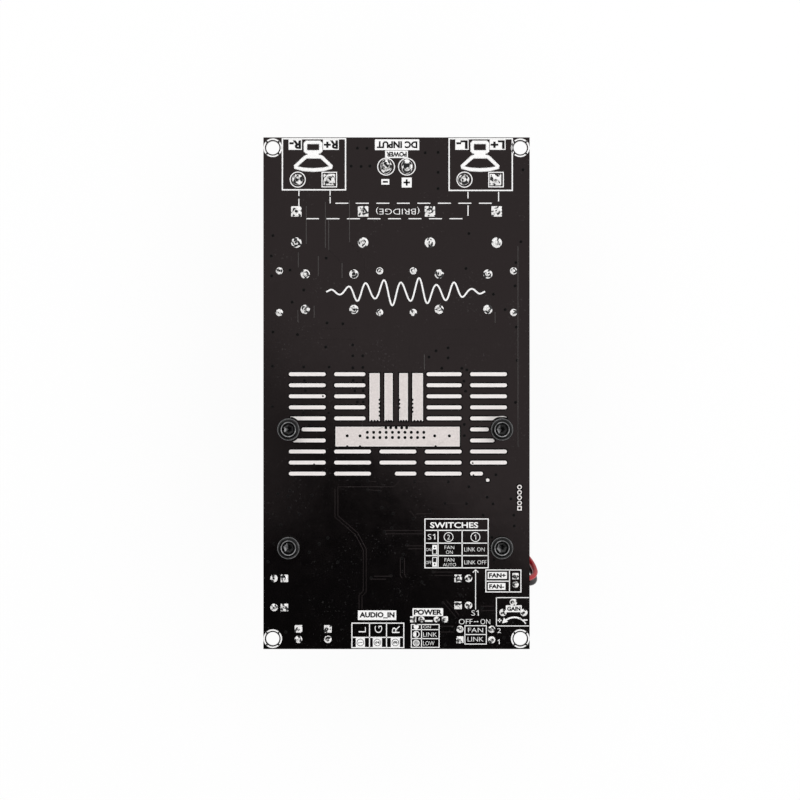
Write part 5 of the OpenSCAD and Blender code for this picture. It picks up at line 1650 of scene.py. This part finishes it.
@dataclass
class MaskedBoard:
    """The board: mask, raised traces under it, tented vias and bare strips."""

    trace: float = 0.17
    lift: float = 0.035
    flank_wider: float = 0.01
    flank_higher: float = 0.006
    rim: float = 0.32
    rim_lift: float = 0.012
    bead: float = 0.13
    bead_rise: float = 0.015
    tin_level: float = 0.99
    tin_near: float = 0.01
    tin_smooth: float = 2.0
    strip_high: float = 1.3
    via: float = 0.28
    via_sides: int = 12
    via_lift: float = 0.008
    collar: float = 0.38
    collar_smooth: float = 60.0
    collar_steps: Path = (
        (1.0, 0.02), (0.84, 0.035), (0.94, 0.005), (0.92, -0.025), (1.0, -0.045))
    hole_sides: int = 16
    header_hole: float = 0.32
    header_layer: Point = (BOARD_LOW + 0.8, BOARD_LOW + 0.9)
    chip_hole: float = 0.38
    notch: float = 0.29
    notch_top: float = 5.1
    notch_pitch: float = 0.95
    chip_layer: Point = (BOARD_TOP - 0.3, BOARD_TOP + 0.104)
    upper_traces: tuple[Path, ...] = (
        ((-21.7, 45.0), (-21.7, 35.9)), ((-16.9, 46.0), (-16.9, 34.9)), ((-16.1, 41.6),
        (-16.1, 34.4), (-13.1, 31.3), (-13.1, 27.7)), ((-11.3, 46.4), (-11.3, 36.3),
        (-7.6, 32.3), (-7.6, 28.7)), ((-18.6, 33.0), (-18.6, 28.2)), ((-23.4, 33.9),
        (-23.4, 30.2)), ((-19.8, 21.0), (-19.8, 18.1)), ((-23.7, 20.0), (-23.7, 17.1)),
        ((-19.4, 13.0), (-9.3, 13.0)), ((-17.9, 15.7), (-9.3, 15.7)), ((23.9, 19.5),
        (23.9, 16.9), (20.6, 14.0)), ((19.1, 20.0), (19.1, 17.1)), ((10.0, 11.9),
        (19.1, 11.9)), ((10.9, 15.4), (19.6, 15.4)), ((3.2, 11.3), (3.2, 5.7)), ((6.9, 9.4),
        (6.9, 5.7)), ((-3.5, 11.8), (-3.5, 5.7)), ((-0.1, 12.8), (-0.1, 5.7)),
        ((29.4, 35.4), (29.4, -12.9)), ((9.3, 33.0), (12.6, 36.3)), ((14.5, 31.1),
        (16.2, 32.7)))
    # Painted highlight strokes down the upper traces: x, start and end of each
    lit_flanks: Route = (
        (-21.7, 45.0, 35.9), (-17.1, 46.0, 34.9), (-16.3, 41.6, 34.4), (-13.1, 31.3, 27.7),
        (-11.3, 46.4, 36.3), (-18.8, 33.0, 28.2), (-23.6, 33.9, 30.2), (-19.8, 21.0, 18.1),
        (-23.7, 20.0, 17.1), (23.7, 19.5, 16.9), (6.7, 9.4, 5.7), (29.2, 35.4, -12.9))
    lower_traces: tuple[Path, ...] = (
        ((-0.6, -22.5), (-14.1, -22.5), (-14.1, -29.5), (-9.3, -33.6), (-7.3, -37.5),
        (-7.3, -47.8), (-8.3, -48.8), (-8.3, -51.9)), ((-14.8, -23.0), (-14.8, -29.8),
        (-9.9, -34.0), (-8.0, -37.7), (-8.0, -47.5), (-9.0, -48.6), (-9.0, -51.9)),
        ((-6.9, -21.1), (-4.9, -21.3)), ((-6.9, -23.2), (-3.5, -23.5)), ((-0.6, -22.5),
        (0.8, -21.1)), ((4.2, -21.3), (12.4, -21.3)), ((11.9, -26.5), (16.7, -26.5)),
        ((3.2, -28.3), (4.7, -30.0)), ((4.7, -29.0), (9.0, -29.0)), ((-2.8, -33.0),
        (6.5, -33.0)), ((-2.5, -33.8), (6.5, -33.8)), ((2.3, -36.7), (6.5, -36.7)),
        ((2.8, -37.4), (6.5, -37.4)), ((0.9, -39.6), (0.9, -43.8), (1.4, -44.5)),
        ((1.9, -39.6), (1.9, -43.5), (2.2, -44.2)), ((-5.4, -44.0), (-1.1, -44.0)),
        ((-6.4, -44.7), (-2.5, -44.7)), ((8.5, -43.0), (13.6, -43.0)), ((9.1, -43.8),
        (13.6, -43.8)), ((11.2, -50.2), (14.2, -53.7)), ((12.0, -49.8), (15.0, -53.3)),
        ((10.5, -56.0), (13.8, -56.0)), ((10.5, -57.4), (13.8, -57.4)), ((20.3, -51.2),
        (23.5, -51.2)), ((20.3, -52.3), (23.5, -52.2)))
    vias: Path = (
        (-29.7, 37.9), (-30.1, 33.0), (-30.0, 28.2), (-25.6, 29.6), (-16.9, 32.5),
        (-22.3, 24.8), (-25.1, 21.9), (-29.7, 14.7), (-23.8, 14.1), (-16.7, 16.9),
        (-12.9, 16.7), (-17.0, 11.1), (-10.5, 11.6), (-10.5, 9.0), (-8.1, 9.0),
        (-22.3, 6.3), (-16.2, 6.3), (-10.5, 6.1), (-8.1, 6.2), (-29.8, 6.5), (17.4, 38.4),
        (29.9, 36.4), (28.7, 31.4), (16.7, 30.0), (28.5, 25.8), (23.3, 23.8), (26.1, 20.1),
        (28.8, 15.9), (9.5, 10.2), (12.4, 10.9), (7.8, 8.7), (12.4, 8.5), (29.0, 7.9),
        (15.7, 6.0), (10.9, 6.0), (-26.1, -24.7), (-25.8, -27.6), (-28.5, -24.2),
        (-27.8, -31.7), (-30.9, -29.0), (-20.3, -24.5), (-21.0, -38.2), (-25.6, -23.4),
        (-30.9, -40.5), (-23.4, -29.0), (-18.6, -36.2), (-14.1, -40.6), (-16.5, -34.8),
        (-6.9, -21.0), (-6.9, -23.2), (-4.2, -23.5), (4.4, -21.3), (12.4, -21.3),
        (11.7, -26.5), (16.8, -26.5), (8.1, -28.3), (9.1, -29.0), (4.1, -30.2),
        (-2.9, -33.3), (-1.1, -32.4), (-0.8, -28.9), (-3.5, -27.5), (1.6, -38.7),
        (1.3, -39.7), (-1.3, -43.9), (-6.1, -44.4), (8.8, -43.0), (6.1, -45.4),
        (11.2, -50.4), (17.4, -22.5), (21.8, -25.0), (23.2, -26.6), (27.5, -25.4),
        (28.2, -29.3), (28.3, -31.9), (20.8, -29.3), (22.9, -34.6), (23.4, -40.2),
        (15.3, -48.5), (20.6, -51.6), (11.7, -60.5), (25.8, -58.8), (-26.6, -57.4),
        (-29.4, -36.2), (2.5, -36.5), (-22.1, 3.1), (-10.4, 3.1), (-8.0, 3.1), (-21.9, 0.6),
        (-8.0, 0.6), (-10.0, 0.6), (-9.4, -2.1), (-8.0, -2.1), (-20.9, -7.6),
        (-18.1, -10.3), (-29.8, -3.2), (-22.4, -4.7), (-16.3, -4.7), (16.9, 5.6),
        (16.2, 2.9), (16.6, 0.5), (16.3, -7.5), (16.3, -10.2), (28.6, -2.2), (23.9, -19.6),
        (-9.4, 58.9), (-7.1, 58.9), (-10.9, 54.6), (-8.5, 54.5), (-6.4, 54.6), (6.9, 57.8),
        (10.0, 57.9), (10.0, 53.1), (10.0, 49.2), (30.4, 53.7))
    header_holes: Path = tuple((29.57, -25.1 + 1.27 * k) for k in range(-2, 3))
    chip_rows: Path = (
        *((-6.8 + 1.507 * k, y) for k in range(10) for y in (0.2, -1.05)),
        *((x, 1.3) for x in (-2.35, -1.2, 0.1, 1.45, 2.65)),
        *((x, -0.65) for x in (-11.65, -8.57, 9.38, 12.89)))
    block_corner: Point = (-14.46, -3.18)
    bars: Path = ((-6.28, -3.84), (-2.68, -0.72), (0.87, 2.93), (4.02, 6.56))
    bar_foot: float = 2.92
    bar_sides: tuple[tuple[float, int], ...] = ((-3.84, 5), (0.87, 3), (4.02, 4))
    block_notches: Place = (-11.65, -8.57, 9.6)

    def _lay(self, name: str, layer: Point, finish: Finish, **shapes: list) -> None:
        """Builds one sheet of shapes.

        Args:
            name: The piece's name.
            layer: Its lower and upper face.
            finish: Its finish.
            shapes: Its shapes, under the sheet's own labels.
        """
        sheet = PrintSheet(name, layer, **shapes)
        Bench.hand_over(sheet.finish(), MASK_SLOT, finish)

    def notches(self) -> list[Point]:
        """Lists the holes on the edges of the bars and of the block.

        Returns:
            Their places, seen from the chip.
        """
        foot = [(x0 + share * (x1 - x0), self.bar_foot)
                for x0, x1 in self.bars for share in (0.2, 0.5, 0.8)]
        start = self.bar_foot + self.notch_top
        sides = [(x, start - self.notch_pitch * k)
                 for x, count in self.bar_sides for k in range(count)]
        return foot + sides + [(x, self.block_corner[1]) for x in self.block_notches]

    def build(self) -> None:
        """Dresses the board and the strips and lays traces and vias."""
        Dress.nodes(MASK, "circuit_board")
        self.tinned()
        low, top = BOARD_TOP - SUNK, BOARD_TOP + self.lift
        traces = [(path, self.trace, False) for path in self.upper_traces + self.lower_traces]
        self._lay("traces", (low, top), MASK, strokes=traces)
        # Painted highlight: lighter strokes along the upper traces
        wide = self.trace + self.flank_wider
        highlight_paths = [(((x, y0), (x, y1)), wide, False) for x, y0, y1 in self.lit_flanks]
        self._lay("lit_flanks", (low, top + self.flank_higher), PAINTED_TRACE_HIGHLIGHT, strokes=highlight_paths)
        Bench.hand_over(self.via_rims(), MASK_SLOT, VIA_SKIN)
        self._lay("via_dots", (low, BOARD_TOP + self.via_lift), SHADE,
                  discs=[(spot, self.via, self.via_sides) for spot in self.vias])
        self._lay("header_hole_shade", self.header_layer, SHADE,
                  discs=[(spot, self.header_hole, self.hole_sides)
                         for spot in self.header_holes])
        self.openings()

    def tinned(self) -> None:
        """Copies the bare copper, leaves a bead along its edges and tins it, with lighter tin
        as a painted highlight on the beads and the narrow strips.
        """
        piece = Bench.cast("bare_strips", "tinned_strips")
        mesh = piece.data
        top = max(corner.co.z for corner in mesh.vertices)
        for face in mesh.polygons:
            level = face.normal.z > self.tin_level
            face.select = level and face.center.z > top - self.tin_near * MM
        Bench.edit()
        bpy.ops.mesh.inset(thickness=self.bead * MM, depth=-self.bead_rise * MM)
        Bench.leave()
        strips = [box for box in Bench.islands(piece) if box[3] - box[1] < self.strip_high]
        # Faces that take the lighter tin: a painted highlight on the beads and the narrow
        # strips
        highlight_faces = []
        for face in mesh.polygons:
            x, y, _ = face.center / MM
            narrow = any(x0 < x < x1 and y0 < y < y1 for x0, y0, x1, y1 in strips)
            highlight_faces.append(int(narrow or not face.select))
        bpy.ops.object.shade_smooth_by_angle(angle=math.radians(self.tin_smooth))
        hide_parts("bare_strips")
        Bench.hand_over(piece, "tin", TIN, TIN_BEAD_HIGHLIGHT)
        for face, bead in zip(mesh.polygons, highlight_faces):
            face.material_index = bead

    def via_rims(self) -> Piece:
        """Models the low collar of mask round a via once and copies it to every via.

        Returns:
            All collars as one piece.
        """
        collar = Bench.blank("via_collar")
        Bench.circle(self.collar, self.via_sides, (0.0, 0.0, -SUNK))
        Bench.lathe(self.collar_steps)
        Bench.close(self.collar_smooth)
        copies = [Bench.copy(collar, Matrix.Translation(metres((*spot, BOARD_TOP))))
                  for spot in self.vias]
        bpy.data.objects.remove(collar)
        return Bench.join("via_rims", copies)

    def openings(self) -> None:
        """Shades the mask's step round the bare copper and the holes through its block."""
        shapes = Bench.islands(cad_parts["bare_strips"])
        block = max(shapes, key=lambda box: (box[2] - box[0]) * (box[3] - box[1]))
        chip_x, chip_y = block[0] - self.block_corner[0], block[1] - self.block_corner[1]
        holes = [((chip_x + x, chip_y + y), radius, sides) for spots, radius, sides in (
            (self.chip_rows, self.chip_hole, self.hole_sides),
            (self.notches(), self.notch, self.via_sides)) for x, y in spots]
        self._lay("chip_hole_shade", self.chip_layer, SHADE, discs=holes)
        slots, bars = [], []
        for x0, y0, x1, y1 in shapes:
            box = (x0 - self.rim, y0 - self.rim, x1 + self.rim, y1 + self.rim)
            (slots if y1 - y0 < self.strip_high else bars).append(box)
        self._lay("mask_step", (BOARD_TOP - SUNK, BOARD_TOP + self.rim_lift), SHADE,
                  slots=slots, bars=bars)


class Dress:
    """Puts finishes on the nodes carried over from the CAD model."""

    @staticmethod
    def nodes(finish: Finish, *names: str) -> None:
        """Gives nodes a finish.

        Args:
            finish: The finish.
            names: The nodes.
        """
        material = finish.build()
        for name in names:
            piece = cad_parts[name]
            if piece.material_slots:
                for slot in piece.material_slots:
                    slot.material = material
            else:
                piece.data.materials.append(material)
            log.info("dressed %s with %s", name, material.name)

    @staticmethod
    def moulded(node: str, width: float, finish: Finish, slot: str) -> None:
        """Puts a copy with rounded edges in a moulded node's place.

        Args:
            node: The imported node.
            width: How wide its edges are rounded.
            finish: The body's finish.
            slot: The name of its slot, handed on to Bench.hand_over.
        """
        piece = Bench.cast(node, f"{node}_moulded")
        Bench.soften(piece, width)
        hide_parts(node)
        Bench.hand_over(piece, slot, finish)


@dataclass(frozen=True)
class Joint:
    """One solder joint."""

    spot: Point
    pad: float
    lead: float
    square: bool = False
    stretch: float = 1.0


@dataclass
class SolderWork:
    """Solder joints: a tinned pad, a lumpy fillet of solder and the clipped lead."""

    seed: int = 7
    wide: float = 1.0
    narrow: float = 0.8
    terminal: float = 2.6
    lump: float = 0.24
    pad_sides: int = 28
    pad_smooth: float = 50.0
    pad_high: float = 0.06
    pad_dome: float = 0.02
    pad_edge: float = 0.05
    pad_corner: float = 0.06
    foot: float = 0.62
    fillet_sides: int = 12
    fillet_smooth: float = 80.0
    stub: float = 0.525
    stub_sides: int = 16
    stub_smooth: float = 40.0
    stub_low: float = 0.1
    lean: Point = (2.0, 7.0)

    def joints(self) -> list[Joint]:
        """Lists the joints.

        Returns:
            All joints, from the board's upper edge to its lower one.
        """
        found: list[Joint] = []
        for x in (-19.98, 19.98):
            found += [Joint((x - 3.81, 51.35), 2.65, 1.2),
                      Joint((x + 3.81, 51.35), 2.75, 1.2, True)]
        found += [Joint((x, 54.5), 2.7, 1.7, stretch=1.3) for x in (-2.5, 2.5)]
        for x in SUPPLY_X:
            found += [Joint((x, 43.7), 2.5, 0.8, True), Joint((x, 36.2), 2.5, 0.8)]
        for xs, offset, pad, lead in (((-21.95, -10.25, 10.25, 21.95), 4.25, 2.2, 1.0),
                                      ((-28.15, -4.05, 4.05, 28.15), 5.0, 1.7, 0.7)):
            found += [Joint((x, 24.4 + dy), pad, lead) for x in xs for dy in (-offset, offset)]
        for x, y, turn in SMALL_CANS:
            way = direction(turn) * 1.25
            found += [Joint((x + way.x, y + way.y), 1.8, 0.5, True),
                      Joint((x - way.x, y - way.y), 1.8, 0.5)]
        found += [Joint((x, -54.35), 1.45, 0.5, square)
                  for x, square in ((4.0, True), (6.0, False), (9.65, False), (11.65, True))]
        for x in (15.25, 22.87):
            found += [Joint((x, -58.0 + dy), 1.7, 0.5, x < 16 and dy < 0)
                      for dy in (-1.27, 1.27)]
        found += [Joint(spot, 1.75, 0.6)
                  for spot in ((28.1, -50.25), (25.6, -52.7), (30.6, -52.7))]
        found += [Joint((28.6, -43.97), 1.5, 0.55, True), Joint((28.6, -45.99), 1.5, 0.55)]
        return found

    def _pad(self, pad: float, square: bool) -> Piece:
        """Models one tinned pad at the origin.

        Args:
            pad: Its width.
            square: Whether it is square and not round.

        Returns:
            The pad.
        """
        piece = Bench.blank("pad")
        half = pad / 2
        if square:
            Bench.bar((-half, -half, half, half), -SUNK)
            bpy.ops.mesh.bevel(offset=self.pad_corner * pad * MM, segments=3, affect="VERTICES")
        else:
            Bench.circle(half, self.pad_sides, (0.0, 0.0, -SUNK), True)
        Bench.extrude((0.0, 0.0, self.pad_high))
        bpy.ops.mesh.inset(thickness=self.pad_edge * pad * MM, depth=self.pad_dome * MM)
        Bench.close(self.pad_smooth)
        return piece

    def _fillet(self, pool: float, lead: float, seed: int) -> Piece:
        """Models one lumpy fillet of solder round a clipped lead, at the origin.

        Args:
            pool: The fillet's radius at its foot.
            lead: The lead's width.
            seed: Picks the lumps.

        Returns:
            The fillet, its foot at the pad's face.
        """
        piece = Bench.blank("fillet")
        foot = lead * self.foot
        run = pool - foot
        Bench.circle(pool, self.fillet_sides, (0.0, 0.0, SUNK))
        Bench.turn_profile(pool, [
            (pool, 0.04), (pool - 0.08 * run, 0.16 * run), (pool - 0.4 * run, 0.2 * run),
            (pool - 0.75 * run, 0.3 * run), (foot, 0.36 * run), (foot * 0.6, 0.02)])
        bpy.ops.mesh.edge_face_add()
        Bench.choose(piece, lambda spot: spot.z > self.stub_low * MM)
        bpy.ops.transform.vertex_random(
            offset=self.lump * run * MM, uniform=0.0, normal=0.0, seed=seed)
        Bench.close(self.fillet_smooth)
        Bench.modify(piece, "SUBSURF", levels=1, render_levels=1)
        stub = Bench.blank("stub")
        Bench.circle(lead * self.stub, self.stub_sides, (0.0, 0.0, self.stub_low))
        Bench.lathe([(1.0, 1.0), (0.86, 0.05), (0.5, 0.02)])
        bpy.ops.mesh.edge_face_add()
        Bench.close(self.stub_smooth)
        return Bench.join("fillet", [piece, stub])

    def build(self) -> None:
        """Models each kind of pad and fillet once and sets copies on all leads."""
        rng = Random(self.seed)
        kinds: dict[tuple, Piece] = {}
        pads: list[Piece] = []
        fillets: list[Piece] = []
        terminals: list[Piece] = []
        for index, joint in enumerate(self.joints()):
            large = joint.pad > self.terminal
            pool = joint.pad / 2 * (self.wide if large else self.narrow)
            pad_key, fillet_key = (joint.pad, joint.square), (pool, joint.lead, index % 3)
            if pad_key not in kinds:
                kinds[pad_key] = self._pad(*pad_key)
            if fillet_key not in kinds:
                kinds[fillet_key] = self._fillet(pool, joint.lead, self.seed + len(kinds))
            move = Matrix.Translation(metres((*joint.spot, BOARD_TOP)))
            grow = Matrix.Diagonal((1.0, joint.stretch, 1.0, 1.0))
            turn = Matrix.Rotation(math.radians(rng.uniform(0, 360)), 4, "Z")
            lean = Matrix.Rotation(math.radians(rng.uniform(*self.lean)), 4, "X")
            pads.append(Bench.copy(kinds[pad_key], move @ grow))
            row = terminals if large else fillets
            row.append(Bench.copy(kinds[fillet_key], move @ grow @ turn @ lean))
        for piece in kinds.values():
            bpy.data.objects.remove(piece)
        Bench.hand_over(Bench.join("solder_pads", pads), "tin", PAD_TIN)
        solder = Bench.join("solder_fillets", fillets)
        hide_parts("solder_joints")
        Bench.hand_over(solder, "tin", SOLDER)
        Bench.hand_over(Bench.join("terminal_fillets", terminals), "tin", TERMINAL_SOLDER)


@dataclass
class Fasteners:
    """The four socket-head screws that hold the heatsink."""

    places: Path = ((-25.9, -37.1), (25.3, -37.1), (-25.9, -8.7), (25.3, -8.7))
    head: float = 5.5
    rise: float = 3.0
    profile: Path = (
        (0.975, 0.0), (1.0, 0.12), (1.0, 2.33), (0.985, 0.21), (0.956, 0.14),
        (0.916, 0.075), (0.873, 0.055), (0.818, 0.045), (0.79, 0.025))
    ridges: int = 40
    groove: float = 0.962
    groove_span: Point = (0.1, 2.5)
    dishes: Route = ((1.2, 1.7, 0.75), (1.6, 1.86, 0.14))
    dish_sides: int = 48
    dish_over: float = 0.02
    key: float = 2.5
    key_deep: float = 3.2
    tip_high: float = 0.55
    tip_drop: float = 1.86
    shank: float = 3.0
    shank_sides: int = 32
    chamfer: Point = (0.82, 0.3)
    smooth: float = 40.0
    worn_drop: float = 0.25
    worn_inner: float = 1.95
    worn_outer: Point = (2.5, 2.65)
    worn_slope: Point = (0.4, 0.985)
    glint_span: Point = (0.5, 1.5)
    glint_reach: float = 1.2
    glint_side: float = 0.3
    first_turn: float = 17.0
    next_turn: float = 23.0

    def _cut(self, piece: Piece) -> None:
        """Cuts the active object out of a piece and removes it.

        Args:
            piece: What is cut.
        """
        tool = bpy.context.object
        Bench.pick(piece)
        Bench.modify(piece, "BOOLEAN", operation="DIFFERENCE", solver="EXACT", object=tool)
        bpy.data.objects.remove(tool)

    def _cone(self, piece: Piece, sides: int, radii: Point, depth: float,
              middle: float) -> None:
        """Cuts an upright cone out of a piece.

        Args:
            piece: The piece.
            sides: How many sides the cone has.
            radii: Its lower and upper radius.
            depth: Its height.
            middle: The height of its middle.
        """
        Bench.clear()
        bpy.ops.mesh.primitive_cone_add(
            vertices=sides, radius1=radii[0] * MM, radius2=radii[1] * MM, depth=depth * MM,
            location=(0.0, 0.0, middle * MM))
        self._cut(piece)

    def _grooved(self, spot: Vector) -> bool:
        """Says whether a vertex lies at the bottom of the knurling."""
        spin = round(math.atan2(spot.y, spot.x) / math.pi * self.ridges)
        return spin % 2 == 1 and self.groove_span[0] < spot.z / MM < self.groove_span[1]

    def _head(self) -> Piece:
        """Models a knurled head with a rounded edge and a hexagonal socket.

        Returns:
            The head, its foot at the origin.
        """
        piece = Bench.blank("screw_head")
        Bench.circle(self.head / 2, 2 * self.ridges, filled=True)
        Bench.turn_profile(1.0, self.profile)
        Bench.choose(piece, self._grooved)
        Bench.resize((self.groove, self.groove, 1.0), ORIGIN)
        Bench.close(self.smooth)
        for inner, outer, depth in self.dishes:
            middle = self.rise + self.dish_over - depth / 2
            self._cone(piece, self.dish_sides, (inner, outer), depth, middle)
        Bench.clear()
        bpy.ops.mesh.primitive_cylinder_add(
            vertices=6, radius=self.key / 2 / math.cos(math.pi / 6) * MM,
            depth=self.key_deep * MM, location=(0.0, 0.0, self.rise * MM))
        self._cut(piece)
        self._cone(piece, 6, (0.0, self.key / 2), self.tip_high, self.rise - self.tip_drop)
        return piece

    def _shank(self, low: float) -> Piece:
        """Models the screw's shank.

        Args:
            low: The height of its end, below the board's top.

        Returns:
            The shank.
        """
        narrow, slope = self.chamfer
        piece = Bench.blank("screw_shank")
        Bench.circle(self.shank / 2, self.shank_sides, filled=True)
        Bench.lathe([(1.0, low + slope), (narrow, -slope)])
        Bench.close(self.smooth)
        return piece

    def _worn(self, face: bpy.types.MeshPolygon) -> bool:
        """Says whether a face takes the lighter metal of a painted highlight: a ring on the
        head's rims or a glint in the socket.

        Args:
            face: A face of the finished screws.

        Returns:
            Whether it takes the painted highlight.
        """
        x, y, z = face.center / MM
        up = z - BOARD_TOP
        reach = min(math.hypot(x - x0, y - y0) for x0, y0 in self.places)
        inner, outer = self.worn_outer
        rim = up > self.rise - self.worn_drop and (
            reach < self.worn_inner or inner < reach < outer)
        low, drop = self.glint_span
        glint = (low < up < self.rise - drop and reach < self.glint_reach
                 and face.normal.x > self.glint_side)
        steep, level = self.worn_slope
        return (rim or glint) and steep < face.normal.z < level

    def build(self) -> None:
        """Models one screw, sets four of them and marks the faces with painted highlight rings
        and glints.
        """
        low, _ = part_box("heatsink_screws")
        head = self._head()
        shank = self._shank(low[2] / MM - BOARD_TOP)
        screw = Bench.join("screw", [head, shank])
        copies = []
        for index, spot in enumerate(self.places):
            angle = math.radians(self.first_turn + self.next_turn * index)
            move = Matrix.Translation(metres((*spot, BOARD_TOP)))
            copies.append(Bench.copy(screw, move @ Matrix.Rotation(angle, 4, "Z")))
        bpy.data.objects.remove(screw)
        screws = Bench.join("clamp_screws", copies)
        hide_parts("heatsink_screws")
        Bench.hand_over(screws, "black_oxide", BLACK_OXIDE, RIM_HIGHLIGHT_AND_GLINT)
        # Painted highlight: rim rings and a socket facet take the lighter metal
        for face in screws.data.polygons:
            face.material_index = int(self._worn(face))


@dataclass
class CoolingTower:
    """Heatsink, its spacers and the fan."""

    def build(self) -> None:
        """Dresses the nodes of the cooling stack."""
        Dress.nodes(ANODISED, "heatsink")
        Dress.nodes(BRASS, "heatsink_spacers")
        Dress.nodes(PAD_GREY, "thermal_pad")
        Dress.nodes(FAN_PLASTIC, "fan_frame", "fan_rotor")
        Dress.nodes(MAGNET, "fan_magnet")
        Dress.nodes(COPPER, "fan_stator")
        Dress.nodes(STEEL, "fan_screws")


@dataclass
class PowerStage:
    """Chip, supply capacitors, film capacitors and output inductors."""

    sleeve: tuple[Rgb, Rgb, Point] = (
        (0.010, 0.010, 0.012), (0.016, 0.016, 0.018), (0.25, 0.36))
    sleeve_relief: float = 0.06
    film_round: float = 0.5

    def _cans(self) -> None:
        """Dresses the supply capacitors and the small ones."""
        for index, x in enumerate(SUPPLY_X):
            can = CanFinish(
                f"sleeve_supply_{index + 1}", *self.sleeve, relief=self.sleeve_relief,
                depth=0.02, centre=(x, SUPPLY_Y), radius=8.0, facing=(0.0, -1.0, 0.0))
            Dress.nodes(can, f"supply_capacitor_{index + 1}")
        for index, (x, y, turn) in enumerate(SMALL_CANS):
            way = direction(turn)
            can = CanFinish(
                f"sleeve_small_{index + 1}", *self.sleeve, relief=self.sleeve_relief,
                cells=1200.0, centre=(x, y), radius=3.15, facing=(-way.x, -way.y, 0.0),
                end=19.0)
            Dress.nodes(can, f"small_capacitor_{index + 1}")

    def build(self) -> None:
        """Dresses the parts that carry the power."""
        Dress.nodes(MOULD, "amplifier_chip", "signal_chips")
        Dress.nodes(END_TIN, "chip_leads", "chip_end_caps")
        self._cans()
        for number in range(1, 5):
            Dress.moulded(f"film_capacitor_{number}", self.film_round, FILM, "film_red")
        Dress.nodes(FERRITE, "inductor_core_1", "inductor_core_2", "regulator_coil")
        Dress.nodes(COPPER, "inductor_windings_1", "inductor_windings_2")


@dataclass
class Connectors:
    """Speaker headers, power socket, audio header and fan header."""

    def build(self) -> None:
        """Dresses the connectors and their pins."""
        Dress.nodes(HEADER, "speaker_header_1", "speaker_header_2")
        Dress.nodes(END_TIN, "speaker_pins_1", "speaker_pins_2", "audio_pins",
                    "fan_header_pins")
        Dress.nodes(NYLON_YELLOW, "power_socket")
        Dress.nodes(GILT, "power_pins")
        Dress.nodes(NYLON_WHITE, "audio_header", "fan_header", "fan_plug")


@dataclass
class Controls:
    """Switch block, gain control, indicator lamps and the small chip parts."""

    switch_round: float = 0.2
    gain_round: float = 0.25

    def build(self) -> None:
        """Dresses the controls and the passive parts."""
        Dress.moulded("dip_body", self.switch_round, SWITCH_RED, "switch_red")
        Dress.nodes(END_TIN, "dip_pins")
        Dress.nodes(KNOB_WHITE, "dip_slide_1", "dip_slide_2", "gain_disc")
        Dress.moulded("gain_body", self.gain_round, GAIN_BLUE, "gain_blue")
        Dress.nodes(LAMP_BLUE, "indicator_lamp_1")
        Dress.nodes(LAMP_RED, "indicator_lamp_2")
        Dress.nodes(MOULD, "chip_resistors")
        Dress.nodes(CERAMIC, "chip_capacitors")


def main() -> None:
    """Builds the scene, sub-assembly by sub-assembly."""
    logging.basicConfig(level=logging.INFO, format="%(name)s: %(message)s")
    for part in (CameraRig(), FanLead(), StudioStage(), MaskedBoard(), Silkscreen(),
                 SolderWork(), Fasteners(), CoolingTower(), PowerStage(), Connectors(),
                 Controls()):
        part.build()


if __name__ == "__main__":
    main()
